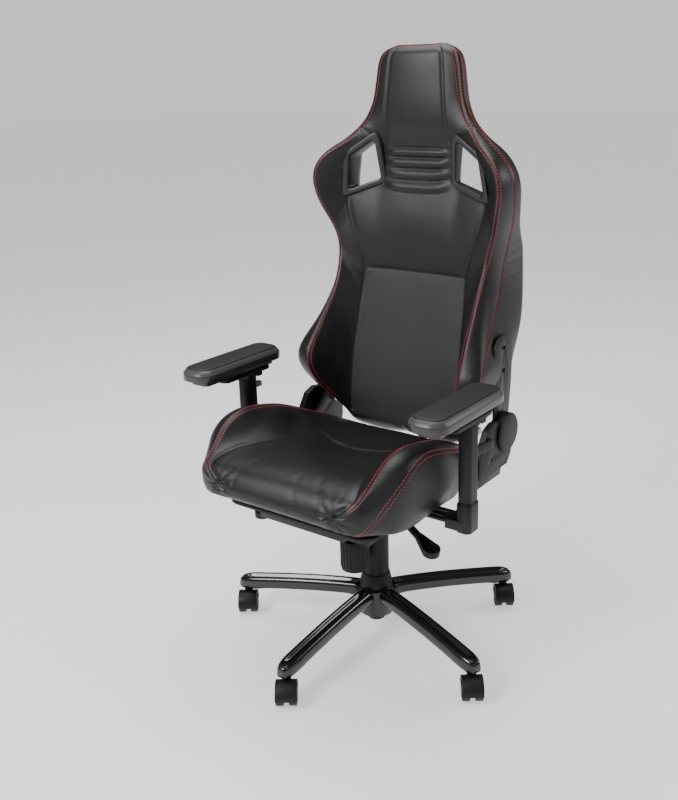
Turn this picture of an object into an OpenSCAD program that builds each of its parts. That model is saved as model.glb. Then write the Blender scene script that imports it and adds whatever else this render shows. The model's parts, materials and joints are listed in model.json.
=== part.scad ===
// Racing-style swivel chair: five-star base on twin casters, gas lift with a
// telescopic cover, sprung tilt mechanism, bucket seat, reclining winged back
// and armrests that rise, turn and slide both ways.
// The chair faces -Y, +X is the sitter's left, +Z is up from the floor, and the
// origin is the point of the floor under the gas lift. Millimetres.

/* [Base] */
// Distance from the gas lift to each caster stem
base_r = 330; // [290:1:380]
// Width of one arm of the base
arm_w = 41; // [38:1:50]
// Height of an arm's top at its tip
arm_tip_z = 91; // [88:1:100]
// Height of the hub's top face
hub_top_z = 118; // [112:1:124]
// Outer radius of the hub
hub_r = 42; // [36:1:48]
// Wall of the hollow base arms
arm_wall = 5; // [4:0.5:7]

/* [Casters] */
// Radius of a caster wheel
wheel_r = 25; // [23:0.5:26]
// Width over both wheels of a caster
caster_w = 45; // [42:1:54]
// Distance from the stem to the wheel axle
caster_trail = 18; // [12:1:22]
// Direction the casters trail in, from straight ahead
caster_yaw = 36; // [0:1:90]
// Radius of the caster stem
stem_r = 5.5; // [5:0.5:7]

/* [Gas lift] */
// Outer radius of the standpipe
pipe_r = 25; // [24:0.5:26]
// Radius of the sliding gas cylinder
cyl_r = 14; // [13:0.5:15]
// Radius of the piston rod
rod_r = 5; // [4:0.5:6]
// Height of the top of the standpipe
pipe_top_z = 246; // [238:1:250]
// Travel of the gas lift
lift_travel = 80; // [60:5:85]
// Outer radius of the top stage of the cover
cover_r = 31; // [31:0.5:34]

/* [Tilt mechanism] */
// Width of the tilt housing
housing_w = 104; // [96:1:116]
// Height of the underside of the housing
housing_z = 268; // [266:1:272]
// Radius of the tilt shaft
shaft_r = 8; // [6:0.5:9]
// Radius of the tension knob
knob_r = 33; // [28:1:36]

/* [Seat] */
// Height of the underside of the seat pan
pan_z = 392; // [388:1:400]
// Thickness of the seat pan
pan_t = 7; // [5:1:9]
// Half width over the side bolsters
seat_half_w = 252; // [244:1:256]
// Half width of the flat middle of the seat
seat_mid_w = 180; // [165:1:195]
// Height of the seat's middle at the cross seam
seat_top_z = 474; // [465:1:482]
// Height of the crest of the side bolsters
bolster_z = 572; // [540:1:580]
// How far the front of the seat stands ahead of the gas lift
seat_front = 340; // [326:1:356]

/* [Recliner] */
// How far the recline axis lies behind the gas lift
pivot_y = 155; // [152:1:158]
// Height of the recline axis
pivot_z = 497; // [494:1:500]
// Radius of the recline pins
pin_r = 8; // [6:0.5:9]
// Thickness of the steel hinge plates
plate_t = 5; // [4:0.5:5]
// Distance from the middle of the chair to the inner hinge plate
plate_x = 226; // [226:1:229]
// Radius of the round recliner cap
cap_r = 43.5; // [40:0.5:46]

/* [Backrest] */
// Height of the top of the head
back_top_z = 1314; // [1290:1:1350]
// Half width of the shoulder wings
wing_w = 248; // [236:1:256]
// Half width of the waist
waist_w = 212; // [205:1:220]
// Half width of the head
head_w = 110; // [98:1:122]
// Height of the widest part of the wings
wing_z = 1040; // [1030:1:1050]
// Width of the bezel round each opening
bezel_w = 12; // [8:1:15]

/* [Armrests] */
// Distance from the middle of the chair to each armrest
rest_x = 291; // [291:1:300]
// How far the armrest posts stand ahead of the gas lift
rest_y = 85; // [80:1:90]
// Height of the top of the armrest pads
pad_top_z = 660; // [655:1:680]
// Length of the armrest pads
pad_len = 264; // [230:1:272]
// Width of the armrest pads
pad_w = 84; // [76:1:86]

/* [Fits] */
// Radial clearance of turning and sliding fits
fit = 0.05; // [0.02:0.01:0.09]
// Gap between neighbouring bodies
gap = 0.5; // [0.4:0.1:0.8]

/* [Hidden] */
PAIRED = ["hinge_plate", "recline_pin", "hinge_cover", "recline_cap",
          "back_plate", "back_bezel", "arm_post", "arm_sleeve", "arm_release",
          "arm_rail", "arm_turntable", "arm_rim", "arm_pad"];

$fn = 64;
soft_fn = 32;
arms = 5;

// Gas lift
pipe_wall = 2.5;
pipe_foot_r = 20;
pipe_bottom_z = 30;
pipe_cap_t = 3;
bush_bottom_z = 130;
cyl_bottom_z = 84;
cyl_top_z = 318;
cyl_bore_r = cyl_r - 2;
cyl_floor = 12;
piston_z = cyl_bottom_z + cyl_floor + lift_travel + 52;
valve_r = 3;
cover_top_z = housing_z;
cover_wall = 1.2;
cover_step = cover_wall + 0.4;
cup_r = cover_r + 7;

// Tilt mechanism: the shaft lies ahead of the gas lift
sheet = 3;
tilt_y = -60;
tilt_z = 340;
housing_front = -106;
housing_rear = 75;
knob_y = -80;
knob_top_z = housing_z - gap;
knob_h = 72;
bolt_r = 5;
top_plate_z = 362;
top_plate_t = 4;
rail_z = top_plate_z + top_plate_t;
rail_x = 65;
rail_w = 40;
lever_r = 4;
lever_y = -20;
lever_z = 331;

// Seat
pan_top_z = pan_z + pan_t;
bracket_t = 6;
bracket_z = pan_z - bracket_t;

// Hinge plates stand side by side, the back's outside the seat's
back_plate_x = plate_x + plate_t + 1;
cover_x = back_plate_x + plate_t + 1;
cover_out_x = cover_x + 14;
shell_t = 2.5;

// Armrests
post_l = [22, 34];
sleeve_l = [30, 42];
foot_top_z = 431;
collar_t = 5;
sleeve_z = foot_top_z + collar_t + gap;
sleeve_top_z = 602;
rail_block_z = sleeve_top_z + gap;
rail_block_t = 8;
guide_rib = [28, 12, 4];
turn_z = rail_block_z + rail_block_t + gap;
turn_t = 8;
slide_rail = [26, 124, 8];
rim_z = turn_z + turn_t + gap;
rim_foot_w = 50;
rim_tray_z = 632;
rim_top_z = 655;
pad_z = 649;
pad_inset = 11;
pad_ahead = 43;
release_z = 568;
release_travel = 4;

function lerp(a, b, t) = a + (b - a) * t;

// Helpers ----------------------------------------------------------------

// Outline in (y, z), drawn from x0 to x1
module slab_x(x0, x1) {
    translate([x0, 0, 0]) rotate([90, 0, 90]) linear_extrude(x1 - x0) children();
}

// Outline in (x, z), drawn from y0 to y1
module slab_y(y0, y1) {
    translate([0, y1, 0]) rotate([90, 0, 0]) linear_extrude(y1 - y0) children();
}

module rod_x(x0, x1, r) {
    translate([x0, 0, 0]) rotate([0, 90, 0]) cylinder(h = x1 - x0, r = r);
}

module rounded_rect(size, r) {
    square([size.x - 2 * r, size.y], center = true);
    square([size.x, size.y - 2 * r], center = true);
    for (sx = [-1, 1], sy = [-1, 1])
        translate([sx * (size.x / 2 - r), sy * (size.y / 2 - r)]) circle(r);
}

module ring(r_out, r_in, z0, z1) {
    rotate_extrude() polygon([[r_in, z0], [r_out, z0], [r_out, z1], [r_in, z1]]);
}

module both_sides() {
    children();
    mirror([1, 0, 0]) children();
}

// side 1 is the sitter's left, -1 the sitter's right
module on_side(side) {
    if (side > 0) children();
    else mirror([1, 0, 0]) children();
}

module at_pivot() {
    translate([0, pivot_y, pivot_z]) children();
}

module at_rest_post() {
    translate([rest_x, -rest_y, 0]) children();
}

// Base -------------------------------------------------------------------

hood_top_z = 2 * wheel_r + 7;
arm_under_z = hood_top_z + 1.5;
arm_deep = arm_tip_z - arm_under_z;
arm_end = base_r + arm_w / 2;

function arm_top(r) = arm_tip_z + (hub_top_z - arm_tip_z) * cos(90 * min(r / base_r, 1));

// Side of an arm between r0 and r1: its top lies "drop" below the arm's own, its
// underside follows the top "deep" below it
module arm_side(drop, deep, r0, r1) {
    steps = 10;
    polygon(concat(
        [for (i = [0 : steps]) let (r = lerp(r0, r1, i / steps)) [r, arm_top(r) - deep]],
        [for (i = [steps : -1 : 0]) let (r = lerp(r0, r1, i / steps)) [r, arm_top(r) - drop]]));
}

module arm_plan(w) {
    translate([0, -w / 2]) square([base_r, w]);
    translate([base_r, 0]) circle(w / 2);
}

module base_arm() {
    ridge = 7;
    groove = 4;
    recess = 6;
    difference() {
        intersection() {
            linear_extrude(hub_top_z + 10) arm_plan(arm_w);
            slab_y(-arm_w, arm_w) arm_side(0, arm_deep, 0, arm_end + 1);
        }
        slab_y(-arm_w / 2 + ridge, arm_w / 2 - ridge)
            arm_side_band(groove, hub_r + 12, base_r - 12);
        slab_y(-arm_w / 2 + arm_wall, arm_w / 2 - arm_wall)
            arm_side(arm_deep - recess, arm_deep + 1, hub_r + 10, base_r - 3 * stem_r);
    }
}

// The shallow groove between the two ridges of an arm
module arm_side_band(depth, r0, r1) {
    steps = 8;
    polygon(concat(
        [for (i = [0 : steps]) let (r = lerp(r0, r1, i / steps)) [r, arm_top(r) - depth]],
        [[r1, hub_top_z + 5], [r0, hub_top_z + 5]]));
}

module star_base() {
    socket_h = arm_tip_z - arm_under_z - 6;
    color([0.04, 0.04, 0.045]) difference() {
        union() {
            for (k = [0 : arms - 1]) rotate([0, 0, 360 / arms * k - 90]) base_arm();
            cylinder(h = hub_top_z, r = hub_r);
        }
        translate([0, 0, -1]) cylinder(h = 51, r = hub_r + 1);
        cylinder(h = 2 * hub_top_z, r = pipe_r);
        for (k = [0 : arms - 1]) rotate([0, 0, 360 / arms * k - 90])
            translate([base_r, 0, arm_under_z - 1]) cylinder(h = socket_h + 1, r = stem_r + fit);
    }
}

module at_caster(k) {
    rotate([0, 0, 360 / arms * (k - 1)]) translate([0, -base_r, 0])
        rotate([0, 0, caster_yaw - 360 / arms * (k - 1)]) children();
}

axle_r = 4;
wheel_w = 16;
core_w = caster_w - 2 * wheel_w - 4 * gap;

// Hood and stem of one caster: it trails towards local -Y
module caster_hood(k) {
    shell_in = wheel_r + 1.2;
    shell_out = wheel_r + 4;
    color([0.07, 0.07, 0.075]) at_caster(k) {
        difference() {
            union() {
                translate([0, -caster_trail, wheel_r]) difference() {
                    rod_x(-caster_w / 2, caster_w / 2, shell_out);
                    for (s = [-1, 1]) translate([s * (core_w / 2 + caster_w / 2), 0, 0])
                        rod_x(-caster_w / 2, caster_w / 2, shell_in);
                    // Open below, and at the side the wheels trail to
                    translate([-caster_w, -2 * shell_out, -shell_out])
                        cube([2 * caster_w, 4 * shell_out, shell_out - 2]);
                }
                translate([0, -caster_trail, wheel_r]) rod_x(-core_w / 2, core_w / 2, wheel_r - 6);
                translate([0, 0, wheel_r + 14]) cylinder(h = hood_top_z - wheel_r - 14, r = 10);
            }
            translate([0, -caster_trail, wheel_r]) {
                rod_x(-caster_w, caster_w, axle_r + fit);
                for (s = [-1, 1]) translate([s * (core_w / 2 + caster_w / 2), 0, 0])
                    rod_x(-caster_w / 2, caster_w / 2, shell_in);
            }
        }
        translate([0, 0, hood_top_z - 4]) cylinder(h = arm_tip_z - arm_under_z - 4, r = stem_r);
    }
}

// Both wheels of one caster, pressed on one axle
module caster_wheels(k) {
    rim = 3;
    color([0.1, 0.1, 0.1]) at_caster(k) translate([0, -caster_trail, wheel_r]) {
        difference() {
            for (s = [-1, 1]) translate([s * (core_w / 2 + gap + wheel_w / 2), 0, 0])
                rod_x(-wheel_w / 2, wheel_w / 2, wheel_r);
            for (s = [-1, 1]) translate([s * (caster_w / 2 - gap), 0, 0])
                difference() {
                    rod_x(-rim, rim, wheel_r - 4);
                    rod_x(-rim - 1, rim + 1, 9);
                }
        }
        rod_x(-caster_w / 2 + 4, caster_w / 2 - 4, axle_r);
    }
}

// Gas lift ---------------------------------------------------------------

module standpipe() {
    foot_in = pipe_foot_r - pipe_wall;
    color([0.05, 0.05, 0.05]) rotate_extrude() polygon([
        [rod_r + 1, pipe_bottom_z], [pipe_foot_r, pipe_bottom_z], [pipe_foot_r, 56],
        [pipe_r, 74], [pipe_r, pipe_top_z], [pipe_r - pipe_wall, pipe_top_z],
        [pipe_r - pipe_wall, 76], [foot_in, 58], [foot_in, pipe_bottom_z + pipe_cap_t],
        [rod_r + 1, pipe_bottom_z + pipe_cap_t]]);
}

module guide_bush() {
    lip = 4;
    color([0.85, 0.85, 0.82]) rotate_extrude() polygon([
        [cyl_r + fit, bush_bottom_z], [pipe_r - pipe_wall, bush_bottom_z],
        [pipe_r - pipe_wall, pipe_top_z], [pipe_r, pipe_top_z],
        [pipe_r, pipe_top_z + lip], [cyl_r + fit, pipe_top_z + lip]]);
}

bearing_z = pipe_bottom_z + pipe_cap_t;
bearing_h = 8;

// Two races with a ring of balls between them
module thrust_bearing() {
    race = 2.6;
    ball_r = 2.2;
    pitch_r = 10;
    color([0.7, 0.7, 0.72]) {
        ring(14, rod_r + 1, bearing_z, bearing_z + race);
        ring(14, rod_r + 1, bearing_z + bearing_h - race, bearing_z + bearing_h);
        for (a = [0 : 36 : 324]) rotate([0, 0, a])
            translate([pitch_r, 0, bearing_z + bearing_h / 2]) sphere(r = ball_r, $fn = soft_fn);
    }
}

module piston_rod() {
    shoulder_z = bearing_z + bearing_h + gap;
    color([0.75, 0.75, 0.78]) rotate_extrude() polygon([
        [0, 24], [rod_r, 24], [rod_r, shoulder_z], [9, shoulder_z], [9, shoulder_z + 5],
        [rod_r, shoulder_z + 5], [rod_r, piston_z], [cyl_bore_r - fit, piston_z],
        [cyl_bore_r - fit, piston_z + 12], [0, piston_z + 12]]);
}

module rod_clip() {
    color([0.6, 0.6, 0.62]) ring(10, rod_r, pipe_bottom_z - gap - 2.5, pipe_bottom_z - gap);
}

module gas_cylinder() {
    color([0.08, 0.08, 0.08]) rotate_extrude() polygon([
        [rod_r + fit, cyl_bottom_z], [cyl_r, cyl_bottom_z], [cyl_r, cyl_top_z],
        [valve_r, cyl_top_z], [valve_r, cyl_top_z + 4], [0, cyl_top_z + 4],
        [0, 300], [cyl_bore_r, 300], [cyl_bore_r, cyl_bottom_z + cyl_floor],
        [rod_r + fit, cyl_bottom_z + cyl_floor]]);
}

// Flared cup on the hub, and the fixed inner stage of the cover
module cover_bottom() {
    in_r = pipe_r + 0.3;
    color([0.09, 0.09, 0.09]) rotate_extrude() polygon([
        [in_r, hub_top_z], [cup_r, hub_top_z], [cup_r, hub_top_z + 6],
        [cover_r + 1.6, 150], [cover_r + gap, 150], [cover_r + gap, 127],
        [in_r + cover_wall, 127], [in_r + cover_wall, 205], [in_r, 205]]);
}

module cover_middle() {
    in_r = pipe_r + 0.3 + cover_step;
    color([0.09, 0.09, 0.09]) ring(in_r + cover_wall, in_r, 129, 225);
}

module cover_top() {
    in_r = pipe_r + 0.3 + 2 * cover_step;
    color([0.09, 0.09, 0.09]) rotate_extrude() polygon([
        [in_r, 130], [cover_r, 130], [cover_r, cover_top_z], [in_r, cover_top_z]]);
}

// Tilt mechanism -----------------------------------------------------------

// Pressed channel that sits on the gas cylinder's end
module tilt_housing() {
    w = housing_w / 2;
    tower_h = 46;
    color([0.06, 0.06, 0.065]) difference() {
        union() {
            difference() {
                slab_x(-w, w) polygon([
                    [housing_front, housing_z + 4], [housing_front + 4, housing_z],
                    [housing_rear - 10, housing_z], [housing_rear, housing_z + 10],
                    [housing_rear, 318], [-25, 350], [-88, 350], [housing_front, 334]]);
                slab_x(-w + sheet, w - sheet) polygon([
                    [housing_front + sheet, housing_z + 5], [housing_front + 6, housing_z + sheet],
                    [housing_rear - 12, housing_z + sheet], [housing_rear - sheet, housing_z + 12],
                    [housing_rear - sheet, 400], [housing_front + sheet, 400]]);
            }
            translate([0, 0, housing_z]) cylinder(h = tower_h, r = cyl_r + 7);
            translate([0, knob_y, housing_z]) ring(24, 21.5, 0, 22);
        }
        translate([0, 0, housing_z - 1]) cylinder(h = 100, r = cyl_r);
        translate([0, knob_y, housing_z - 1]) cylinder(h = sheet + 2, r = bolt_r + fit);
        translate([0, tilt_y, tilt_z]) rod_x(-w - 1, w + 1, shaft_r);
        // Window for the height lever, and the bore of the lock lever
        translate([w - sheet - 1, lever_y - 7, lever_z - 9]) cube([sheet + 2, 14, 16]);
        translate([0, lever_y, lever_z]) rod_x(-w - 1, -w + sheet + 1, lever_r + fit);
    }
}

module tilt_shaft() {
    w = housing_w / 2;
    color([0.7, 0.7, 0.72]) translate([0, tilt_y, tilt_z]) {
        rod_x(-w - 3, w + 3, shaft_r);
        for (s = [-1, 1]) translate([s * (w + 2.5), 0, 0]) rod_x(-2, 2, shaft_r + 3);
    }
}

// Stack of coils inside the housing's spring cup
module tension_spring() {
    coil_r = 16;
    wire_r = 2.6;
    pitch = 6.4;
    color([0.5, 0.5, 0.5]) for (i = [0 : 6])
        translate([0, knob_y, housing_z + sheet + wire_r + pitch * i])
            rotate_extrude() translate([coil_r, 0]) circle(wire_r, $fn = 16);
}

module tension_knob() {
    ribs = 24;
    color([0.08, 0.08, 0.08]) translate([0, knob_y, 0]) {
        difference() {
            union() {
                translate([0, 0, knob_top_z - knob_h]) cylinder(h = knob_h, r = knob_r - 1.5);
                for (i = [0 : ribs - 1]) rotate([0, 0, 360 / ribs * i])
                    translate([knob_r - 2.5, -1.5, knob_top_z - knob_h + 6])
                        cube([2.5, 3, knob_h - 10]);
            }
            translate([0, 0, knob_top_z - 55]) ring(knob_r - 4.5, 11, 0, 60);
        }
        translate([0, 0, knob_top_z - 60]) cylinder(h = 60 + gap + 26, r = bolt_r);
    }
}

// Straight rods joined by slightly larger balls
module bent_rod(points, r) {
    for (i = [0 : len(points) - 2]) {
        d = points[i + 1] - points[i];
        translate(points[i]) rotate([0, acos(d.z / norm(d)), atan2(d.y, d.x)])
            cylinder(h = norm(d), r = r);
        if (i > 0) translate(points[i]) sphere(r * 1.06);
    }
}

// Hand lever on the housing's left wall: a rod through the wall, a flat arm that
// dips as it leaves, and a rounded paddle on its end
module hand_lever(inside, reach, yaw, dip, arm_t, paddle_r) {
    wall = housing_w / 2;
    arm_w = 15;
    neck = 52;
    translate([0, lever_y, lever_z]) {
        rod_x(wall - inside, wall + 20, lever_r);
        translate([wall + 16, 0, 0]) rotate([0, dip, -yaw]) {
            translate([0, -arm_w / 2, -arm_t / 2]) cube([reach, arm_w, arm_t]);
            translate([0, 0, -arm_t / 2]) cylinder(h = arm_t, r = arm_w / 2);
            translate([0, 0, -arm_t / 2 - 3]) linear_extrude(arm_t + 6) {
                translate([reach, 0]) circle(paddle_r);
                polygon([[reach - neck, -arm_w / 2 + 1], [reach, -paddle_r],
                    [reach, paddle_r], [reach - neck, arm_w / 2 - 1]]);
            }
        }
    }
}

module height_lever() {
    wall = housing_w / 2;
    color([0.05, 0.05, 0.05]) {
        hand_lever(46, 154, 25, 13, 9, 19);
        // Round trunnion it rocks on, in the housing's window
        translate([wall, lever_y + 6, lever_z]) rotate([90, 0, 0]) cylinder(h = 12, r = 5.5);
        // Finger over the valve
        translate([wall - 46 - lever_r, lever_y - 4, lever_z - lever_r])
            cube([2 * lever_r, 28, 2 * lever_r]);
    }
}

module lock_lever() {
    color([0.05, 0.05, 0.05]) mirror([1, 0, 0]) hand_lever(10, 196, 58, 1, 8, 19);
}

// Seat -------------------------------------------------------------------

plate_bolts = [for (x = [-rail_x, rail_x], y = [-112, 90]) [x, y]];

module seat_plate() {
    ear_out = housing_w / 2 - sheet - gap;
    ear_t = 4;
    color([0.06, 0.06, 0.065]) difference() {
        union() {
            translate([0, 0, top_plate_z]) linear_extrude(top_plate_t) translate([0, -12])
                rounded_rect([176, 240], 12);
            both_sides() {
                slab_x(ear_out - ear_t, ear_out) translate([tilt_y, tilt_z]) circle(14);
                slab_x(ear_out - ear_t, ear_out) translate([tilt_y - 17, tilt_z])
                    square([34, top_plate_z - tilt_z + 1]);
            }
        }
        translate([0, tilt_y, tilt_z]) rod_x(-housing_w, housing_w, shaft_r + fit);
        for (p = plate_bolts) translate([p.x, p.y, 300]) cylinder(h = 100, r = 4.2);
    }
}

// Two rails and two cross members
module seat_frame() {
    h = pan_z - rail_z;
    rear = 68;
    front = -262;
    cross = [110, 146];
    cross_w = 30;
    color([0.06, 0.06, 0.065]) difference() {
        union() {
            both_sides() translate([rail_x - rail_w / 2, front, rail_z])
                cube([rail_w, rear - front, h]);
            for (i = [0, 1]) translate([-cross[i], [front, rear - cross_w][i], rail_z])
                cube([2 * cross[i], cross_w, h]);
        }
        for (p = plate_bolts) if (p.y < rear) translate([p.x, p.y, 300]) cylinder(h = 100, r = 4.2);
    }
}

module seat_pan() {
    color([0.12, 0.12, 0.12]) translate([0, -104, pan_z]) linear_extrude(pan_t) difference() {
        rounded_rect([2 * seat_mid_w + 20, 368], 40);
        both_sides() translate([110, 0]) rounded_rect([46, 130], 16);
    }
}

// Heads and shanks of the bolts that hold the plate, brackets and hinges
module seat_bolts() {
    color([0.7, 0.7, 0.72]) {
        for (p = plate_bolts) if (p.y < 60) translate([p.x, p.y, 0]) {
            translate([0, 0, top_plate_z - 5]) cylinder(h = 5, r = 7, $fn = 6);
            translate([0, 0, top_plate_z - 1]) cylinder(h = pan_z - top_plate_z, r = 4);
        }
        both_sides() for (p = [[172, -104], [172, -66], [168, 44], [168, 68]])
            translate([p.x, p.y, bracket_z - 5]) cylinder(h = 5, r = 7, $fn = 6);
    }
}

module seat_cushion() {
    mid = seat_top_z;
    f = -seat_front;
    crest = bolster_z;
    rear_w = plate_x - 4;
    color([0.05, 0.05, 0.055]) {
        slab_x(-seat_mid_w, seat_mid_w) polygon([
            [f + 14, 430], [f + 2, 448], [f + 6, 476], [f + 26, 500], [f + 60, 511],
            [f + 100, 512], [-180, mid + 30], [-100, mid + 18], [-40, mid + 10], [40, mid],
            [98, mid - 10], [102, 440], [84, pan_top_z], [f + 50, pan_top_z]]);
        both_sides() intersection() {
            slab_x(seat_mid_w, seat_half_w) polygon([
                [f + 4, 446], [f + 4, 484], [f + 22, 506], [f + 56, crest - 42],
                [-262, crest - 18], [-236, crest - 5], [-200, crest], [-126, crest - 11],
                [-74, crest - 27], [-16, crest - 60], [40, 488], [102, 470], [104, 436],
                [80, 412], [20, 400], [-180, 400], [-262, 414]]);
            linear_extrude(700) polygon([
                [seat_mid_w, f - 6], [205, f + 8], [222, -300], [seat_half_w - 4, -254],
                [seat_half_w, -230], [seat_half_w, -60], [seat_half_w - 6, 4],
                [rear_w, 24], [rear_w - 2, 102], [seat_mid_w, 106]]);
        }
    }
}

// Recliner -----------------------------------------------------------------

module hinge_plate(side) {
    hub = 36;
    color([0.06, 0.06, 0.065]) on_side(side) difference() {
        union() {
            slab_x(plate_x, plate_x + plate_t) translate([pivot_y, pivot_z]) circle(hub);
            slab_x(plate_x, plate_x + plate_t)
                polygon([[44, bracket_z], [168, bracket_z], [pivot_y + hub - 4, 440],
                         [pivot_y + hub - 3, pivot_z - 14], [pivot_y - 18, pivot_z + 28],
                         [66, 470], [44, 430]]);
            translate([150, 32, bracket_z]) cube([plate_x - 150 + plate_t, 90, bracket_t]);
        }
        at_pivot() rod_x(0, 400, pin_r);
        translate([0, 87, 453]) rod_x(0, 400, 4);
    }
}

module recline_pin(side) {
    head_x = back_plate_x + plate_t + 0.6;
    color([0.7, 0.7, 0.72]) on_side(side) at_pivot() {
        rod_x(plate_x - 4, head_x + 1, pin_r);
        rod_x(head_x, head_x + 6, 13);
        rod_x(plate_x - 9, plate_x - 0.01, 12);
    }
}

// Outline of the moulded cover over the seat's hinge plate
module cover_outline() {
    polygon([[33, 432], [42, 420], [160, 420], [176, 440], [184, 468], [pivot_y, pivot_z + 20],
             [112, 532], [96, 534], [68, 524], [33, 472]]);
}

lever_pin = [70, 496];

module hinge_cover(side) {
    color([0.1, 0.1, 0.105]) on_side(side) difference() {
        slab_x(cover_x, cover_out_x) cover_outline();
        difference() {
            slab_x(cover_x - 1, cover_out_x - shell_t) offset(delta = -shell_t) cover_outline();
            translate([0, lever_pin.x, lever_pin.y]) rod_x(cover_x, cover_out_x, 7);
        }
        at_pivot() rod_x(200, 300, cap_r + gap);
        translate([0, lever_pin.x, lever_pin.y]) rod_x(200, 300, 4);
        translate([0, 87, 453]) rod_x(200, 300, 3);
    }
}

module recline_cap(side) {
    color([0.1, 0.1, 0.105]) on_side(side) at_pivot() difference() {
        union() {
            rod_x(cover_x, cover_x + 19, cap_r);
            rod_x(cover_x, cover_x + 21, cap_r - 2.5);
        }
        rod_x(cover_x - 1, cover_x + 16, cap_r - shell_t - 1);
    }
}

// Turns on its own pin in the left cover
module recline_lever() {
    x0 = cover_out_x + gap;
    color([0.07, 0.07, 0.07]) translate([0, lever_pin.x, lever_pin.y]) {
        slab_x(x0, x0 + 8) circle(12);
        slab_x(x0, x0 + 8)
            polygon([[2, 10], [-62, 16], [-72, 12], [-74, 4], [-68, -4], [0, -10]]);
        rod_x(cover_x + 1, x0 + 1, 4 - fit);
    }
}

// Back --------------------------------------------------------------------

module back_plate(side) {
    hub = 36;
    top = [plate_holes[1].x - 4, plate_holes[1].y - 10];
    color([0.09, 0.09, 0.095]) on_side(side) difference() {
        union() {
            slab_x(back_plate_x, back_plate_x + plate_t) translate([pivot_y, pivot_z]) circle(hub);
            slab_x(back_plate_x, back_plate_x + plate_t)
                polygon([[pivot_y - 30, pivot_z], [121, 600], [top.x - 41.5, top.y + 4],
                         [top.x + 41.5, top.y + 4], [200, 600], [pivot_y + 32, pivot_z]]);
            slab_x(back_plate_x, back_plate_x + plate_t) translate(top) circle(42);
        }
        at_pivot() rod_x(0, 400, pin_r + fit);
        for (p = plate_holes) translate([0, p.x, p.y]) rod_x(0, 400, 4.2);
    }
}

// Screw holes of a back plate, as (y, z)
plate_holes = [[166, 633], [166, 684]];

// Centre line of the back's side tube, as (half width, y, z)
frame_line = [[208, 166, 590], [208, 168, 700], [186, 215, 820], [200, 200, 960],
              [214, 182, 1032], [189, 186, 1086], [120, 200, 1141], [74, 205, 1180],
              [70, 205, 1240]];

frame_tube_r = 9.5;

module back_frame() {
    tube_r = frame_tube_r;
    color([0.3, 0.3, 0.3]) {
        both_sides() bent_rod(frame_line, tube_r);
        for (p = [frame_line[2], frame_line[3], frame_line[7]]) translate([0, p.y, p.z])
            rod_x(-p.x, p.x, tube_r - 1);
        both_sides() for (p = plate_holes) translate([0, p.x, p.y])
            rod_x(frame_line[0].x, back_plate_x + plate_t + 3, 4);
    }
}

// Corners of one opening through the back, as (x, z), anticlockwise from the inner foot
opening = [[98, 1030], [177, 1003], [166, 1078], [106, 1116]];

module opening_shape(grow) {
    offset(delta = grow) polygon(opening);
}

// Front outline of the back, one half
half_outline = [
    [0, 474], [150, 474], [178, 500], [200, 535], [222, 565], [240, 600], [247, 636],
    [245, 666], [236, 700], [waist_w + 14, 745], [waist_w + 5, 790], [waist_w, 840],
    [waist_w + 1, 890], [waist_w + 10, 930], [wing_w - 12, 970], [wing_w - 2, 1005],
    [wing_w, wing_z], [wing_w - 9, wing_z + 24], [wing_w - 32, wing_z + 51], [196, 1104],
    [176, 1118], [158, 1136], [144, 1151], [head_w + 12, 1188], [head_w, 1244],
    [head_w - 6, back_top_z - 34], [head_w - 24, back_top_z - 8], [head_w - 48, back_top_z - 2],
    [0, back_top_z]];

// Side outline between the front and rear curves, as (y, z)
module side_outline(front) {
    rear = [[222, back_top_z - 14], [228, 1244], [222, 1186], [216, 1134], [224, 1090],
            [236, 1016], [256, 951], [298, 880], [311, 840], [314, 790], [304, 740],
            [280, 690], [250, 640], [226, 590], [204, 540], [168, 478]];
    polygon(concat(front, [[208, back_top_z]], rear));
}

mid_front = [[108, 478], [114, 520], [122, 580], [141, 679], [158, 749], [170, 824], [170, 889],
             [172, 934], [182, 990], [194, 1030], [196, 1090], [184, 1130], [177, 1200],
             [180, 1260], [190, back_top_z]];
wing_front = [[112, 500], [84, 526], [56, 560], [32, 596], [24, 628], [42, 674], [72, 717],
              [105, 760], [125, 797], [142, 837], [152, 863], [154, 890], [146, 934], [131, 964],
              [122, 993], [117, wing_z - 10], [119, 1061], [136, 1101], [154, 1113], [168, 1136],
              [178, 1147], [184, 1186], [190, 1244], [194, back_top_z]];

module back_cushion() {
    wing_in = 182;
    color([0.05, 0.05, 0.055]) difference() {
        intersection() {
            slab_y(0, 400) polygon(concat(half_outline,
                [for (i = [len(half_outline) - 2 : -1 : 1]) [-half_outline[i].x, half_outline[i].y]]));
            union() {
                slab_x(-300, 300) side_outline(mid_front);
                both_sides() slab_x(wing_in, 300) side_outline(wing_front);
            }
        }
        both_sides() slab_y(0, 400) opening_shape(bezel_w);
        // Room for the steel plates at the sides
        both_sides() slab_x(plate_x - 3, 300) polygon([[88, 460], [400, 460], [400, 728], [96, 728]]);
    }
}

// Moulded ring that lines one opening
module back_bezel(side) {
    color([0.09, 0.09, 0.095]) on_side(side) difference() {
        slab_y(176, 240) opening_shape(bezel_w);
        slab_y(0, 400) opening_shape(0);
        bent_rod(frame_line, frame_tube_r + gap);
    }
}

// Armrests -----------------------------------------------------------------

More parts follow.
